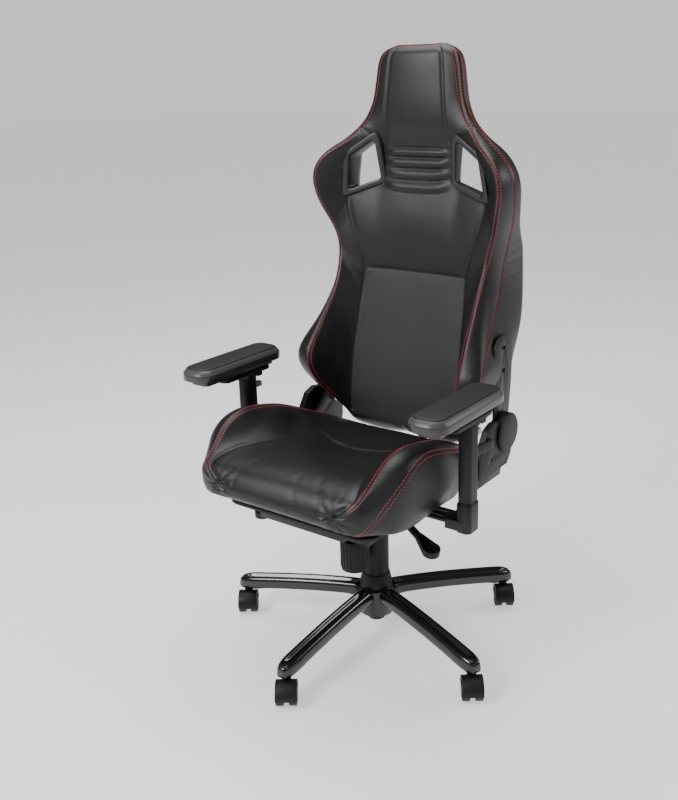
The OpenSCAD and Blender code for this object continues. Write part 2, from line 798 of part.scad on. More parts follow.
// Steel post with its foot, collar and the bracket that bolts under the pan
module arm_post(side) {
    foot_z = 370;
    color([0.08, 0.08, 0.08]) on_side(side) difference() {
        union() {
            at_rest_post() {
                translate([0, 0, foot_z]) linear_extrude(foot_top_z - foot_z)
                    rounded_rect([34, 46], 12);
                translate([0, 0, foot_top_z]) linear_extrude(collar_t)
                    rounded_rect([30, 42], 12);
                translate([0, 0, foot_top_z]) linear_extrude(sleeve_top_z - 14 - foot_top_z)
                    rounded_rect(post_l, 8);
            }
            translate([252, -rest_y - 25, foot_z + 4]) cube([rest_x - 252, 50, 22]);
            translate([150, -rest_y - 25, bracket_z]) cube([rest_x - 150, 50, bracket_t]);
        }
        for (y = [-rest_y - 14, -rest_y + 8]) translate([205, y, bracket_z - 1])
            cube([34, 7, bracket_t + 2]);
    }
}

// Outer sleeve that rides up and down the post
module arm_sleeve(side) {
    top_t = 8;
    color([0.09, 0.09, 0.095]) on_side(side) at_rest_post() {
        difference() {
            translate([0, 0, sleeve_z]) linear_extrude(sleeve_top_z - sleeve_z)
                rounded_rect(sleeve_l, 12);
            translate([0, 0, sleeve_z - 1]) linear_extrude(sleeve_top_z - top_t - sleeve_z + 1)
                rounded_rect(post_l + [2 * gap, 2 * gap], 8 + gap);
            translate([-4 - gap, 10, release_z - gap])
                cube([8 + 2 * gap, 20, 10 + release_travel + 2 * gap]);
        }
        translate([-guide_rib.x / 2, -guide_rib.y / 2, sleeve_top_z - 1])
            cube(guide_rib + [0, 0, 1]);
    }
}

// Height release at the back of the sleeve
module arm_release(side) {
    color([0.6, 0.6, 0.6]) on_side(side) at_rest_post() {
        translate([-4, sleeve_l.y / 2 - 2, release_z]) cube([8, 8, 10]);
        translate([-6, sleeve_l.y / 2 + 5, release_z - 1]) cube([12, 16, 12]);
    }
}

// Block that slides sideways on the sleeve's rib and carries the turning pin
module arm_rail(side) {
    color([0.1, 0.1, 0.1]) on_side(side) at_rest_post() {
        difference() {
            translate([0, 0, rail_block_z]) linear_extrude(rail_block_t) rounded_rect([56, 52], 8);
            translate([-40, -guide_rib.y / 2 - 0.3, rail_block_z - 1])
                cube([80, guide_rib.y + 0.6, guide_rib.z + 1.5]);
        }
        translate([0, 0, rail_block_z + rail_block_t - 1]) cylinder(h = turn_t + gap + 1, r = 10);
    }
}

module arm_turntable(side) {
    color([0.12, 0.12, 0.12]) on_side(side) at_rest_post() difference() {
        union() {
            translate([0, -pad_ahead / 2, turn_z]) linear_extrude(turn_t)
                rounded_rect([56, 150], 14);
            translate([-slide_rail.x / 2, -pad_ahead / 2 - 12 - slide_rail.y / 2, turn_z])
                cube([slide_rail.x, slide_rail.y, turn_t + slide_rail.z]);
        }
        translate([0, 0, turn_z - 1]) cylinder(h = turn_t + 1 + gap, r = 10 + fit);
    }
}

module pad_outline(inset) {
    translate([0, -pad_ahead]) rounded_rect([pad_w - 2 * inset, pad_len - 2 * inset], 34 - inset);
}

// Hard rim with a shallow tray for the pad and a channel for the turntable's rail
module arm_rim(side) {
    foot_len = slide_rail.y + 98;
    color([0.25, 0.25, 0.25]) on_side(side) at_rest_post() difference() {
        union() {
            translate([0, 0, rim_tray_z]) linear_extrude(rim_top_z - rim_tray_z) pad_outline(0);
            translate([0, -pad_ahead, rim_z]) linear_extrude(rim_tray_z - rim_z + 1)
                rounded_rect([rim_foot_w, foot_len], 12);
        }
        translate([0, 0, pad_z]) linear_extrude(pad_top_z - pad_z) pad_outline(pad_inset);
        translate([-slide_rail.x / 2 - gap, -pad_ahead - foot_len / 2 + 6, rim_z - 1])
            cube([slide_rail.x + 2 * gap, foot_len - 12, slide_rail.z + 1 + gap]);
    }
}

module arm_pad(side) {
    color([0.15, 0.15, 0.14]) on_side(side) at_rest_post()
        translate([0, 0, pad_z]) linear_extrude(pad_top_z - pad_z) pad_outline(pad_inset);
}

// Everything ---------------------------------------------------------------

star_base();
standpipe();
guide_bush();
thrust_bearing();
cover_bottom();
cover_middle();
cover_top();
piston_rod();
rod_clip();
gas_cylinder();
tilt_housing();
tilt_shaft();
tension_spring();
tension_knob();
height_lever();
lock_lever();
seat_plate();
seat_frame();
seat_pan();
seat_bolts();
seat_cushion();
hinge_plate(1);  // hinge_plate_left
hinge_plate(-1);  // hinge_plate_right
recline_pin(1);  // recline_pin_left
recline_pin(-1);  // recline_pin_right
hinge_cover(1);  // hinge_cover_left
hinge_cover(-1);  // hinge_cover_right
recline_cap(1);  // recline_cap_left
recline_cap(-1);  // recline_cap_right
recline_lever();
back_plate(1);  // back_plate_left
back_plate(-1);  // back_plate_right
back_frame();
back_cushion();
back_bezel(1);  // back_bezel_left
back_bezel(-1);  // back_bezel_right
arm_post(1);  // arm_post_left
arm_post(-1);  // arm_post_right
arm_sleeve(1);  // arm_sleeve_left
arm_sleeve(-1);  // arm_sleeve_right
arm_release(1);  // arm_release_left
arm_release(-1);  // arm_release_right
arm_rail(1);  // arm_rail_left
arm_rail(-1);  // arm_rail_right
arm_turntable(1);  // arm_turntable_left
arm_turntable(-1);  // arm_turntable_right
arm_rim(1);  // arm_rim_left
arm_rim(-1);  // arm_rim_right
arm_pad(1);  // arm_pad_left
arm_pad(-1);  // arm_pad_right
caster_hood(1);  // caster_hood_1
caster_hood(2);  // caster_hood_2
caster_hood(3);  // caster_hood_3
caster_hood(4);  // caster_hood_4
caster_hood(5);  // caster_hood_5
caster_wheels(1);  // caster_wheels_1
caster_wheels(2);  // caster_wheels_2
caster_wheels(3);  // caster_wheels_3
caster_wheels(4);  // caster_wheels_4
caster_wheels(5);  // caster_wheels_5
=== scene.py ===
"""Looks of a racing-style swivel chair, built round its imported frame.

The chair faces -Y, +X is the sitter's left and +Z is up, in metres, as in the frame.
"""

import json
import math

import bmesh
import bpy
import numpy as np
from mathutils import Matrix, Vector
from mathutils.bvhtree import BVHTree

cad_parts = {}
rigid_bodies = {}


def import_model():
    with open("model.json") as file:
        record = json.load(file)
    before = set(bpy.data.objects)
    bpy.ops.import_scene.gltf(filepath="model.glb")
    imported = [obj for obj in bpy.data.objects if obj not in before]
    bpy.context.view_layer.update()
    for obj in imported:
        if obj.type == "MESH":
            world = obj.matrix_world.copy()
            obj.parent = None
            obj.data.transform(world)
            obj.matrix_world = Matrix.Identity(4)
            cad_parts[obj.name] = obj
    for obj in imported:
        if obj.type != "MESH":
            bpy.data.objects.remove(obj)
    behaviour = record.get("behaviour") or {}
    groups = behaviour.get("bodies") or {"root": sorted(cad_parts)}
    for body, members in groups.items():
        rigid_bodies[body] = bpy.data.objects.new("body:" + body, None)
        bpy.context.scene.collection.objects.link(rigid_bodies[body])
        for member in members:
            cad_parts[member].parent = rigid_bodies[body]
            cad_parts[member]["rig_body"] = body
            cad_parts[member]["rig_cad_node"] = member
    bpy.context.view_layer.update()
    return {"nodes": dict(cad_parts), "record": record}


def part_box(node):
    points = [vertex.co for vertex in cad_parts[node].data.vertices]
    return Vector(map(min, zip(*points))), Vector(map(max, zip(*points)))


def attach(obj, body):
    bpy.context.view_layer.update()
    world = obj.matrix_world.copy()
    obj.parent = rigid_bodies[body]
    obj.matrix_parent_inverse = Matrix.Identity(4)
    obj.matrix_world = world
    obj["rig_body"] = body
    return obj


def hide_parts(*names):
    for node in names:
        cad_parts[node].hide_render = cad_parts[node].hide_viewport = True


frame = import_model()

bl_info = {
    "name": "Racing-style swivel chair",
    "version": (1, 0, 0),
    "blender": (4, 5, 0),
    "location": "View3D > Sidebar > Chair",
    "description": "Upholstery, stitching and finishes of a racing-style swivel chair",
    "category": "Object",
}

SIDES = (("left", 1), ("right", -1))
CASTERS = range(1, 6)


# Settings


def length_setting(name, description, default, low, high):
    return bpy.props.FloatProperty(name=name, description=description, default=default,
                                   min=low, max=high, unit="LENGTH")


def colour_setting(name, description, default):
    return bpy.props.FloatVectorProperty(name=name, description=description, default=default,
                                         subtype="COLOR", size=4, min=0, max=1)


class ChairSizes(bpy.types.PropertyGroup):
    """Sizes of the upholstery and its stitching."""

    stitch_pitch: length_setting(
        "Stitch pitch", "Distance from one stitch to the next", 0.0066, 0.004, 0.02)
    stitch_length: length_setting(
        "Stitch length", "Length of thread that shows in one stitch", 0.0048, 0.002, 0.015)
    thread_radius: length_setting(
        "Thread radius", "Radius of the decorative thread", 0.00075, 0.0003, 0.002)
    row_spacing: length_setting(
        "Row spacing", "Distance between the two rows of a double seam", 0.0092, 0.004, 0.02)
    seam_depth: length_setting(
        "Seam depth", "How far a seam pulls the cover in", 0.0022, 0.0, 0.006)
    crown: length_setting(
        "Crown", "Most that the foam swells between two seams", 0.007, 0.0, 0.02)


class ChairColours(bpy.types.PropertyGroup):
    """Colours of the chair's finishes."""

    leather: colour_setting(
        "Leather", "Colour of the black cover", (0.0075, 0.0075, 0.0082, 1))
    lumbar: colour_setting(
        "Lumbar panel", "Colour of the finely textured lumbar panel", (0.014, 0.014, 0.0148, 1))
    thread: colour_setting(
        "Thread", "Colour of the decorative thread", (0.42, 0.035, 0.045, 1))
    plastic: colour_setting(
        "Plastic", "Colour of the moulded plastic", (0.0045, 0.0045, 0.0048, 1))
    floor: colour_setting(
        "Floor", "Colour of the studio floor", (0.55, 0.55, 0.55, 1))


def sizes():
    return bpy.context.scene.chair_sizes


def colours():
    return bpy.context.scene.chair_colours


# Small tools


def pick_only(obj):
    """Deselects all and makes obj the active object."""
    if bpy.context.mode != "OBJECT":
        bpy.ops.object.mode_set(mode="OBJECT")
    for other in bpy.context.view_layer.objects:
        other.select_set(False)
    bpy.context.view_layer.objects.active = obj
    obj.select_set(True)


def edit(obj):
    """Opens obj in edit mode with nothing selected."""
    pick_only(obj)
    bpy.ops.object.mode_set(mode="EDIT")
    bpy.ops.mesh.select_all(action="DESELECT")


def done():
    bpy.ops.object.mode_set(mode="OBJECT")


def close_up(obj, merge=0.0):
    """Merges points closer together than merge and turns all faces outward."""
    edit(obj)
    bpy.ops.mesh.select_all(action="SELECT")
    if merge:
        bpy.ops.mesh.remove_doubles(threshold=merge)
    bpy.ops.mesh.normals_make_consistent(inside=False)
    done()


def select_parts(obj, kind, test):
    """Selects the vertices, edges or faces of obj, open in edit mode, that pass the test."""
    mode = {"verts": "VERT", "edges": "EDGE", "faces": "FACE"}[kind]
    bpy.ops.mesh.select_mode(type=mode)
    mesh = bmesh.from_edit_mesh(obj.data)
    for parts in (mesh.verts, mesh.edges, mesh.faces):
        for part in parts:
            part.select = False
    mesh.normal_update()
    for part in [part for part in getattr(mesh, kind) if test(part)]:
        part.select_set(True)
    mesh.select_flush_mode()
    bmesh.update_edit_mesh(obj.data)


def raise_selected(rise):
    bpy.ops.transform.translate(value=(0, 0, rise))


def settle(obj):
    """Puts the object's place into its mesh."""
    pick_only(obj)
    bpy.ops.object.transform_apply(location=True, rotation=True, scale=True)


def apply_modifier(obj, kind, **settings):
    pick_only(obj)
    modifier = obj.modifiers.new(kind.title(), kind)
    for key, value in settings.items():
        setattr(modifier, key, value)
    bpy.ops.object.modifier_apply(modifier=modifier.name)


def cut_away(obj, cutter):
    """Takes a cutter out of obj and removes the cutter."""
    apply_modifier(obj, "BOOLEAN", operation="DIFFERENCE", object=cutter, solver="EXACT")
    bpy.data.objects.remove(cutter)


def break_edges(obj, width, segments, angle, **settings):
    """Bevels the edges that are sharper than an angle in degrees."""
    apply_modifier(obj, "BEVEL", width=width, segments=segments, limit_method="ANGLE",
                   angle_limit=math.radians(angle), **settings)


def smooth(obj, angle):
    pick_only(obj)
    bpy.ops.object.shade_smooth_by_angle(angle=math.radians(angle))


def paint(obj, *materials):
    obj.data.materials.clear()
    for material in materials:
        obj.data.materials.append(material)


def place(obj, body, material_slot, *nodes):
    """obj rides on a body and stands for the CAD nodes named."""
    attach(obj, body)
    if nodes:
        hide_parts(*nodes)
    return obj


def mesh_object(name, points, faces):
    mesh = bpy.data.meshes.new(name)
    mesh.from_pydata([tuple(p) for p in points], [], faces)
    mesh.validate()
    obj = bpy.data.objects.new(name, mesh)
    bpy.context.scene.collection.objects.link(obj)
    return obj


def ring_faces(rows, around):
    """Faces between rings of equal count, row by row."""
    return [(r * around + k, r * around + (k + 1) % around,
             (r + 1) * around + (k + 1) % around, (r + 1) * around + k)
            for r in range(rows - 1) for k in range(around)]


def tube_faces(rows, around):
    """Faces of a tube of rings, closed at both ends."""
    ends = [tuple(range(around - 1, -1, -1)), tuple(range((rows - 1) * around, rows * around))]
    return ring_faces(rows, around) + ends


# Materials


def new_group(name, inputs, outputs):
    tree = bpy.data.node_groups.new(name, "ShaderNodeTree")
    for label, value in inputs:
        socket = tree.interface.new_socket(label, in_out="INPUT", socket_type="NodeSocketFloat")
        socket.default_value = value
    for label in outputs:
        tree.interface.new_socket(label, in_out="OUTPUT", socket_type="NodeSocketFloat")
    return tree, tree.nodes.new("NodeGroupInput"), tree.nodes.new("NodeGroupOutput")


def group_maths(tree, operation, a, b=None, clamp=False):
    node = tree.nodes.new("ShaderNodeMath")
    node.operation = operation
    node.use_clamp = clamp
    for socket, value in zip(node.inputs, (a, b)):
        if value is None:
            continue
        if isinstance(value, (int, float)):
            socket.default_value = value
        else:
            tree.links.new(value, socket)
    return node.outputs[0]


def texture(tree, kind, scale, output, **settings):
    """A texture node on Object coordinates; scale is a number or a socket."""
    node = tree.nodes.new(kind)
    coordinates = tree.nodes.new("ShaderNodeTexCoord")
    tree.links.new(coordinates.outputs["Object"], node.inputs["Vector"])
    for key, value in settings.items():
        if key in node.inputs:
            node.inputs[key].default_value = value
        else:
            setattr(node, key, value)
    if isinstance(scale, (int, float)):
        node.inputs["Scale"].default_value = scale
    else:
        tree.links.new(scale, node.inputs["Scale"])
    return node.outputs[output]


def grain_group():
    """Pebbled leather: rounded cells with creases between them, and fine pores, and a mask of the
    creases that paints shade into them.
    """
    tree, given, out = new_group("Leather grain", (("Scale", 620.0), ("Pores", 0.3)),
                                 ("Height", "Crease"))
    cells = texture(tree, "ShaderNodeTexVoronoi", given.outputs["Scale"], "Distance",
                    feature="DISTANCE_TO_EDGE")
    fine = texture(tree, "ShaderNodeTexNoise", 2600.0, "Fac", Detail=2.0)
    rounded = group_maths(tree, "POWER", group_maths(tree, "MULTIPLY", cells, 2.4, True), 0.5)
    pores = group_maths(tree, "MULTIPLY", fine, given.outputs["Pores"])
    tree.links.new(group_maths(tree, "ADD", rounded, pores), out.inputs["Height"])
    # Painted shade: mask of the creases between the cells, where the colour is darkened
    tree.links.new(group_maths(tree, "SUBTRACT", 1.0, rounded, True), out.inputs["Crease"])
    return tree


def mottle_group():
    """Slow variation over a surface, with a finer one on top."""
    tree, given, out = new_group("Mottle", (("Scale", 9.0), ("Fine", 160.0)), ("Mask", "Speck"))
    slow = texture(tree, "ShaderNodeTexNoise", given.outputs["Scale"], "Fac", Detail=4.0)
    fine = texture(tree, "ShaderNodeTexNoise", given.outputs["Fine"], "Fac", Detail=3.0)
    risen = group_maths(tree, "SUBTRACT", slow, 0.3)
    tree.links.new(group_maths(tree, "MULTIPLY", risen, 2.2, True), out.inputs["Mask"])
    tree.links.new(fine, out.inputs["Speck"])
    return tree


def edge_group():
    """Worn edges: bright where the surface is sharp."""
    tree, given, out = new_group("Edge wear", (("Start", 0.53), ("Gain", 9.0)), ("Mask",))
    geometry = tree.nodes.new("ShaderNodeNewGeometry")
    sharp = group_maths(tree, "SUBTRACT", geometry.outputs["Pointiness"], given.outputs["Start"])
    broken = texture(tree, "ShaderNodeTexNoise", 130.0, "Fac", Detail=3.0)
    gained = group_maths(tree, "MULTIPLY", sharp, given.outputs["Gain"], True)
    tree.links.new(group_maths(tree, "MULTIPLY", gained, broken, True), out.inputs["Mask"])
    return tree


def ripple_group():
    """Fine cross-ribbed texture of the lumbar panel."""
    tree, given, out = new_group("Fine rib", (("Scale", 420.0),), ("Height",))
    waves = [texture(tree, "ShaderNodeTexWave", given.outputs["Scale"], "Fac",
                     bands_direction=direction, Distortion=1.2) for direction in ("X", "Z")]
    tree.links.new(group_maths(tree, "MULTIPLY", *waves), out.inputs["Height"])
    return tree


def add_group(tree, group, **values):
    node = tree.nodes.new("ShaderNodeGroup")
    node.node_tree = group
    for key, value in values.items():
        node.inputs[key].default_value = value
    return node


def ramp_colour(tree, factor, low, high):
    mix = tree.nodes.new("ShaderNodeMix")
    mix.data_type = "RGBA"
    tree.links.new(factor, mix.inputs[0])
    for socket, value in ((mix.inputs[6], low), (mix.inputs[7], high)):
        if isinstance(value, tuple):
            socket.default_value = value
        else:
            tree.links.new(value, socket)
    return mix.outputs[2]


def ramp_value(tree, factor, low, high):
    node = tree.nodes.new("ShaderNodeMapRange")
    tree.links.new(factor, node.inputs["Value"])
    node.inputs["To Min"].default_value = low
    node.inputs["To Max"].default_value = high
    return node.outputs[0]


def shaded(colour, gain):
    return tuple(min(1.0, c * gain) for c in tuple(colour)[:3]) + (1.0,)


def surface(name, colour, roughness, groups, bump, bump_depth, kind="mottle",
            scale=9.0, fine=160.0, spread=0.3, worn=None, fixed=None):
    """A material whose colour and roughness vary slowly, with its grain as bump and worn edges,
    painted shade in the leather grain's creases and painted highlights on the crests of fine ribs.
    """
    material = bpy.data.materials.new(name)
    material.use_nodes = True
    tree = material.node_tree
    shader = tree.nodes["Principled BSDF"]
    for key, value in (fixed or {}).items():
        shader.inputs[key].default_value = value
    mottle = add_group(tree, groups["mottle"], Scale=scale, Fine=fine)
    base = ramp_colour(tree, mottle.outputs["Mask"], shaded(colour, 1 - spread),
                       shaded(colour, 1 + spread))
    rough = ramp_value(tree, mottle.outputs["Mask"], roughness[0], roughness[1])
    height = mottle.outputs["Speck"]
    if kind == "leather":
        grain = add_group(tree, groups["grain"], Scale=scale * GRAIN_PER_MOTTLE)
        height = grain.outputs["Height"]
        # Painted shade: the colour is darkened to 0.55 of itself in the grain's creases
        base = ramp_colour(tree, grain.outputs["Crease"], base, shaded(colour, 0.55))
    if kind == "rib":
        height = add_group(tree, groups["ripple"]).outputs["Height"]
        # Painted highlight: the crests of the fine ribs are lightened to 1.5 times the colour
        base = ramp_colour(tree, height, base, shaded(colour, 1.5))
    if worn:
        wear = add_group(tree, groups["edge"], Gain=worn[1])
        base = ramp_colour(tree, wear.outputs["Mask"], base, worn[0])
    tree.links.new(base, shader.inputs["Base Color"])
    tree.links.new(rough, shader.inputs["Roughness"])
    node = tree.nodes.new("ShaderNodeBump")
    node.inputs["Strength"].default_value = bump
    node.inputs["Distance"].default_value = bump_depth
    tree.links.new(height, node.inputs["Height"])
    tree.links.new(node.outputs["Normal"], shader.inputs["Normal"])
    return material


GRAIN_PER_MOTTLE = 70
FINISH = {}  # Filled by CHAIR_OT_finishes, which runs first


class CHAIR_OT_finishes(bpy.types.Operator):
    """Materials of the cover, the thread, the metal and the plastic"""

    bl_idname = "chair.finishes"
    bl_label = "Finishes"

    def execute(self, context):
        groups = {"grain": grain_group(), "mottle": mottle_group(), "edge": edge_group(),
                  "ripple": ripple_group()}
        c = colours()
        grey_edge = (0.16, 0.16, 0.165, 1)
        # Key, name, colour, range of roughness, bump, its depth and the other settings
        table = (
            ("leather", "black_cover", c.leather, (0.34, 0.44), 0.3, 0.0004,
             {"kind": "leather", "spread": 0.12, "fixed": {"Specular IOR Level": 0.38}}),
            ("lumbar", "lumbar_cover", c.lumbar, (0.46, 0.56), 0.5, 0.0004,
             {"kind": "rib", "spread": 0.12}),
            ("thread", "red_thread", c.thread, (0.5, 0.62), 0.5, 0.0002,
             {"fine": 1800.0, "scale": 90.0, "spread": 0.25}),
            ("black_thread", "black_thread", (0.03, 0.03, 0.032), (0.5, 0.6), 0.5, 0.0002,
             {"fine": 1800.0, "scale": 90.0}),
            ("gloss", "gloss_enamel", (0.003, 0.003, 0.0035), (0.2, 0.28), 0.012, 0.0003,
             {"fine": 60.0, "worn": ((0.03, 0.03, 0.032, 1), 3.0),
              "fixed": {"Coat Weight": 0.35, "Coat Roughness": 0.1}}),
            ("steel", "black_powder_coat", (0.0045, 0.0045, 0.0048), (0.36, 0.46), 0.25, 0.0003,
             {"fine": 900.0, "worn": (grey_edge, 2.0), "fixed": {"Specular IOR Level": 0.32}}),
            ("zinc", "zinc_plate", (0.55, 0.55, 0.57), (0.25, 0.4), 0.1, 0.0002,
             {"fine": 500.0, "fixed": {"Metallic": 1.0}}),
            ("plastic", "moulded_plastic", c.plastic, (0.46, 0.56), 0.35, 0.0003,
             {"fine": 1300.0, "worn": ((0.04, 0.04, 0.042, 1), 5.0),
              "fixed": {"Specular IOR Level": 0.3}}),
            ("bezel", "bezel_plastic", (0.011, 0.011, 0.0115), (0.38, 0.48), 0.3, 0.0003,
             {"fine": 1300.0}),
            ("wheel", "wheel_nylon", (0.006, 0.006, 0.0063), (0.42, 0.55), 0.2, 0.0003,
             {"fine": 700.0, "spread": 0.35, "worn": ((0.05, 0.05, 0.05, 1), 5.0),
              "fixed": {"Specular IOR Level": 0.35}}),
            ("nylon", "bush_nylon", (0.7, 0.7, 0.66), (0.4, 0.5), 0.1, 0.0004, {"fine": 500.0}),
            ("pan", "black_pan_cloth", (0.02, 0.02, 0.02), (0.8, 0.9), 0.6, 0.0005,
             {"kind": "rib"}),
            ("pad", "armrest_pad", (0.007, 0.007, 0.0069), (0.5, 0.6), 0.4, 0.0004,
             {"kind": "leather", "scale": 14.0, "spread": 0.15}),
            ("rim", "armrest_rim", (0.045, 0.046, 0.046), (0.34, 0.44), 0.3, 0.0003,
             {"fine": 1100.0, "spread": 0.12, "worn": ((0.16, 0.16, 0.16, 1), 4.0)}),
            ("rim_side", "armrest_side", (0.03, 0.03, 0.031), (0.2, 0.3), 0.1, 0.0003,
             {"fine": 500.0, "spread": 0.15}),
            ("tab", "release_tab", (0.38, 0.38, 0.37), (0.35, 0.45), 0.2, 0.0002,
             {"fine": 900.0}),
        )
        for key, name, colour, roughness, bump, depth, settings in table:
            FINISH[key] = surface(name, colour, roughness, groups, bump, depth, **settings)
        return {"FINISHED"}


# Curves through measured places


PROFILE_STEP = 0.002
MERGE = 0.0002
THREAD_SIDES = 6
WELT_SIDES, WELT_PITCH = 8, 0.006


class Profile:
    """Smooth curves through the rows of a table, all against its first column."""

    def __init__(self, rows, softness):
        rows = np.array(rows, float)
        keys = rows[:, 0]
        self.at = np.arange(keys[0], keys[-1] + PROFILE_STEP / 2, PROFILE_STEP)
        reach = int(3 * softness / PROFILE_STEP)
        offsets = np.arange(-reach, reach + 1) * PROFILE_STEP
        weights = np.exp(-0.5 * (offsets / softness) ** 2)
        weights /= weights.sum()
        self.columns = []
        for column in rows[:, 1:].T:
            slope = np.gradient(column, keys)
            i = np.clip(np.searchsorted(keys, self.at, side="right") - 1, 0, len(keys) - 2)
            h = keys[i + 1] - keys[i]
            t = np.clip((self.at - keys[i]) / h, 0, 1)
            value = ((2 * t**3 - 3 * t**2 + 1) * column[i] + (t**3 - 2 * t**2 + t) * h * slope[i]
                     + (3 * t**2 - 2 * t**3) * column[i + 1] + (t**3 - t**2) * h * slope[i + 1])
            low = 2 * value[0] - value[reach:0:-1]
            high = 2 * value[-1] - value[-2:-reach - 2:-1]
            value = np.convolve(np.concatenate([low, value, high]), weights, "valid")
            self.columns.append(value)

    def __call__(self, key):
        return [float(np.interp(key, self.at, c)) for c in self.columns]


def lengths_along(points):
    """Distance along a line to each of its points."""
    return np.concatenate([[0], np.cumsum(np.linalg.norm(np.diff(points, axis=0), axis=1))])


def spread_rows(profile, a, b, low, high, spacing):
    """Keys from low to high such that columns a and b move by about one spacing a row."""
    keys = np.arange(low, high, 0.001)
    points = np.array([[k, *(np.array(profile(k))[[a, b]])] for k in keys])
    length = lengths_along(points)
    count = int(length[-1] / spacing)
    return np.interp(np.linspace(0, length[-1], count + 1), length, keys)


def arc(p0, p1, p2, count):
    """Points of a quadratic curve from p0, which is left out, to p2."""
    t = (np.arange(1, count + 1) / count)[:, None]
    p0, p1, p2 = map(np.array, (p0, p1, p2))
    return (1 - t) ** 2 * p0 + 2 * t * (1 - t) * p1 + t**2 * p2


def straight(p0, p2, count):
    return arc(p0, (np.array(p0) + np.array(p2)) / 2, p2, count)


def loft(name, rings):
    """Closed skin over a stack of rings of equal count; the first and last collapse to a line."""
    rings = np.array(rings)
    obj = mesh_object(name, rings.reshape(-1, 3), ring_faces(*rings.shape[:2]))
    close_up(obj, MERGE)
    return obj


def mirrored_ring(half):
    """A whole ring from its +X half, whose first and last points lie on X = 0."""
    half = np.array(half)
    other = half[1:-1][::-1] * np.array([-1, 1, 1])
    return np.concatenate([half, other])


def vertex_data(obj, attribute):
    """An attribute of three numbers, such as co or normal, of each vertex."""
    values = np.empty(len(obj.data.vertices) * 3, np.float32)
    obj.data.vertices.foreach_get(attribute, values)
    return values.reshape(-1, 3).astype(float)


def write_coordinates(obj, co):
    obj.data.vertices.foreach_set("co", co.astype(np.float32).ravel())
    obj.data.update()


def to_polyline(co, line):
    """Distance of each point from a polyline."""
    line = np.array(line, float)
    best = np.full(len(co), 1e9)
    for a, b in zip(line[:-1], line[1:]):
        d = b - a
        t = np.clip(((co - a) @ d) / max(d @ d, 1e-12), 0, 1)[:, None]
        best = np.minimum(best, np.linalg.norm(co - (a + t * d), axis=1))
    return best


def crease(obj, lines, depth, width):
    """Pulls the skin in along seam lines."""
    co, out = vertex_data(obj, "co"), vertex_data(obj, "normal")
    pull = np.zeros(len(co))
    for line in lines:
        pull = np.maximum(pull, np.exp(-((to_polyline(co, line) / width) ** 2)))
    write_coordinates(obj, co - out * (pull * depth)[:, None])


COVER_CLOTH = {"quality": 5, "mass": 0.2, "tension_stiffness": 9, "compression_stiffness": 9,
               "shear_stiffness": 5, "bending_stiffness": 0.4, "use_pressure": True,
               "uniform_pressure_force": 3.0}
SWELL_FRAMES = 14


def swell(obj, lines, cap, hold=0.004):
    """Blows the foam up by cloth simulation, held along its seams, by at most cap."""
    rest = vertex_data(obj, "co")
    held = obj.vertex_groups.new(name="seams")
    near = np.full(len(rest), 1e9)
    for line in lines:
        near = np.minimum(near, to_polyline(rest, line))
    held.add([int(i) for i in np.nonzero(near < hold)[0]], 1.0, "REPLACE")
    pick_only(obj)
    cloth = obj.modifiers.new("Cloth", "CLOTH")
    for key, value in COVER_CLOTH.items():
        setattr(cloth.settings, key, value)
    cloth.settings.vertex_group_mass = held.name
    cloth.settings.effector_weights.gravity = 0
    cloth.collision_settings.use_collision = False
    cloth.point_cache.frame_start = 1
    cloth.point_cache.frame_end = SWELL_FRAMES
    scene = bpy.context.scene
    for number in range(1, SWELL_FRAMES + 1):
        scene.frame_set(number)
    bpy.ops.object.modifier_apply(modifier=cloth.name)
    scene.frame_set(1)
    moved = vertex_data(obj, "co") - rest
    far = np.linalg.norm(moved, axis=1)[:, None]
    kept = cap * np.tanh(far / cap)
    write_coordinates(obj, rest + moved * (kept / np.maximum(far, 1e-9)))
    obj.vertex_groups.clear()


def surface_tree(obj):
    return BVHTree.FromObject(obj, bpy.context.evaluated_depsgraph_get())


def on_surface(tree, points):
    """Each point moved to the nearest place on a surface, with the normal there."""
    places, outs = [], []
    for p in points:
        spot, out, _, _ = tree.find_nearest(Vector(p))
        places.append(np.array(spot))
        outs.append(np.array(out))
    return np.array(places), np.array(outs)


def resample(line, pitch):
    line = np.array(line, float)
    length = lengths_along(line)
    at = np.arange(pitch / 2, length[-1], pitch)
    return np.stack([np.interp(at, length, line[:, k]) for k in range(3)], axis=1)


def stitch_shape(length, radius):
    """One stitch along X: a thread that dives in at both ends."""
    rings = ((-0.5, 0.35, -0.9), (-0.3, 1.0, 0.1), (0.3, 1.0, 0.1), (0.5, 0.35, -0.9))
    points = []
    for along, thick, up in rings:
        for k in range(THREAD_SIDES):
            a = math.tau * k / THREAD_SIDES
            points.append((along * length, math.cos(a) * thick * radius,
                           up * radius + math.sin(a) * thick * radius))
    return np.array(points), tube_faces(len(rings), THREAD_SIDES)


def sew(name, cover, lines, body, material, offsets=(0.0,), radius=None):
    """Rows of stitches along lines on a cover, each line with rows at the offsets given."""
    s = sizes()
    radius = radius or s.thread_radius
    shape, shape_faces = stitch_shape(s.stitch_length, radius)
    tree = surface_tree(cover)
    points, faces = [], []
    for line in lines:
        base, out = on_surface(tree, resample(line, s.stitch_pitch))
        if len(base) < 3:
            continue
        along = np.gradient(base, axis=0)
        along /= np.maximum(np.linalg.norm(along, axis=1), 1e-9)[:, None]
        across = np.cross(along, out)
        for offset in offsets:
            spots, outs = on_surface(tree, base + across * offset)
            for spot, up, ahead in zip(spots, outs, along):
                side = np.cross(up, ahead)
                side /= max(np.linalg.norm(side), 1e-9)
                ahead = np.cross(side, up)
                turn = np.stack([ahead, side, up], axis=1)
                first = len(points) * len(shape)
                points.append(shape @ turn.T + spot)
                faces += [tuple(first + i for i in f) for f in shape_faces]
    obj = mesh_object(name, np.concatenate(points), faces)
    smooth(obj, 60)
    paint(obj, material)
    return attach(obj, body)


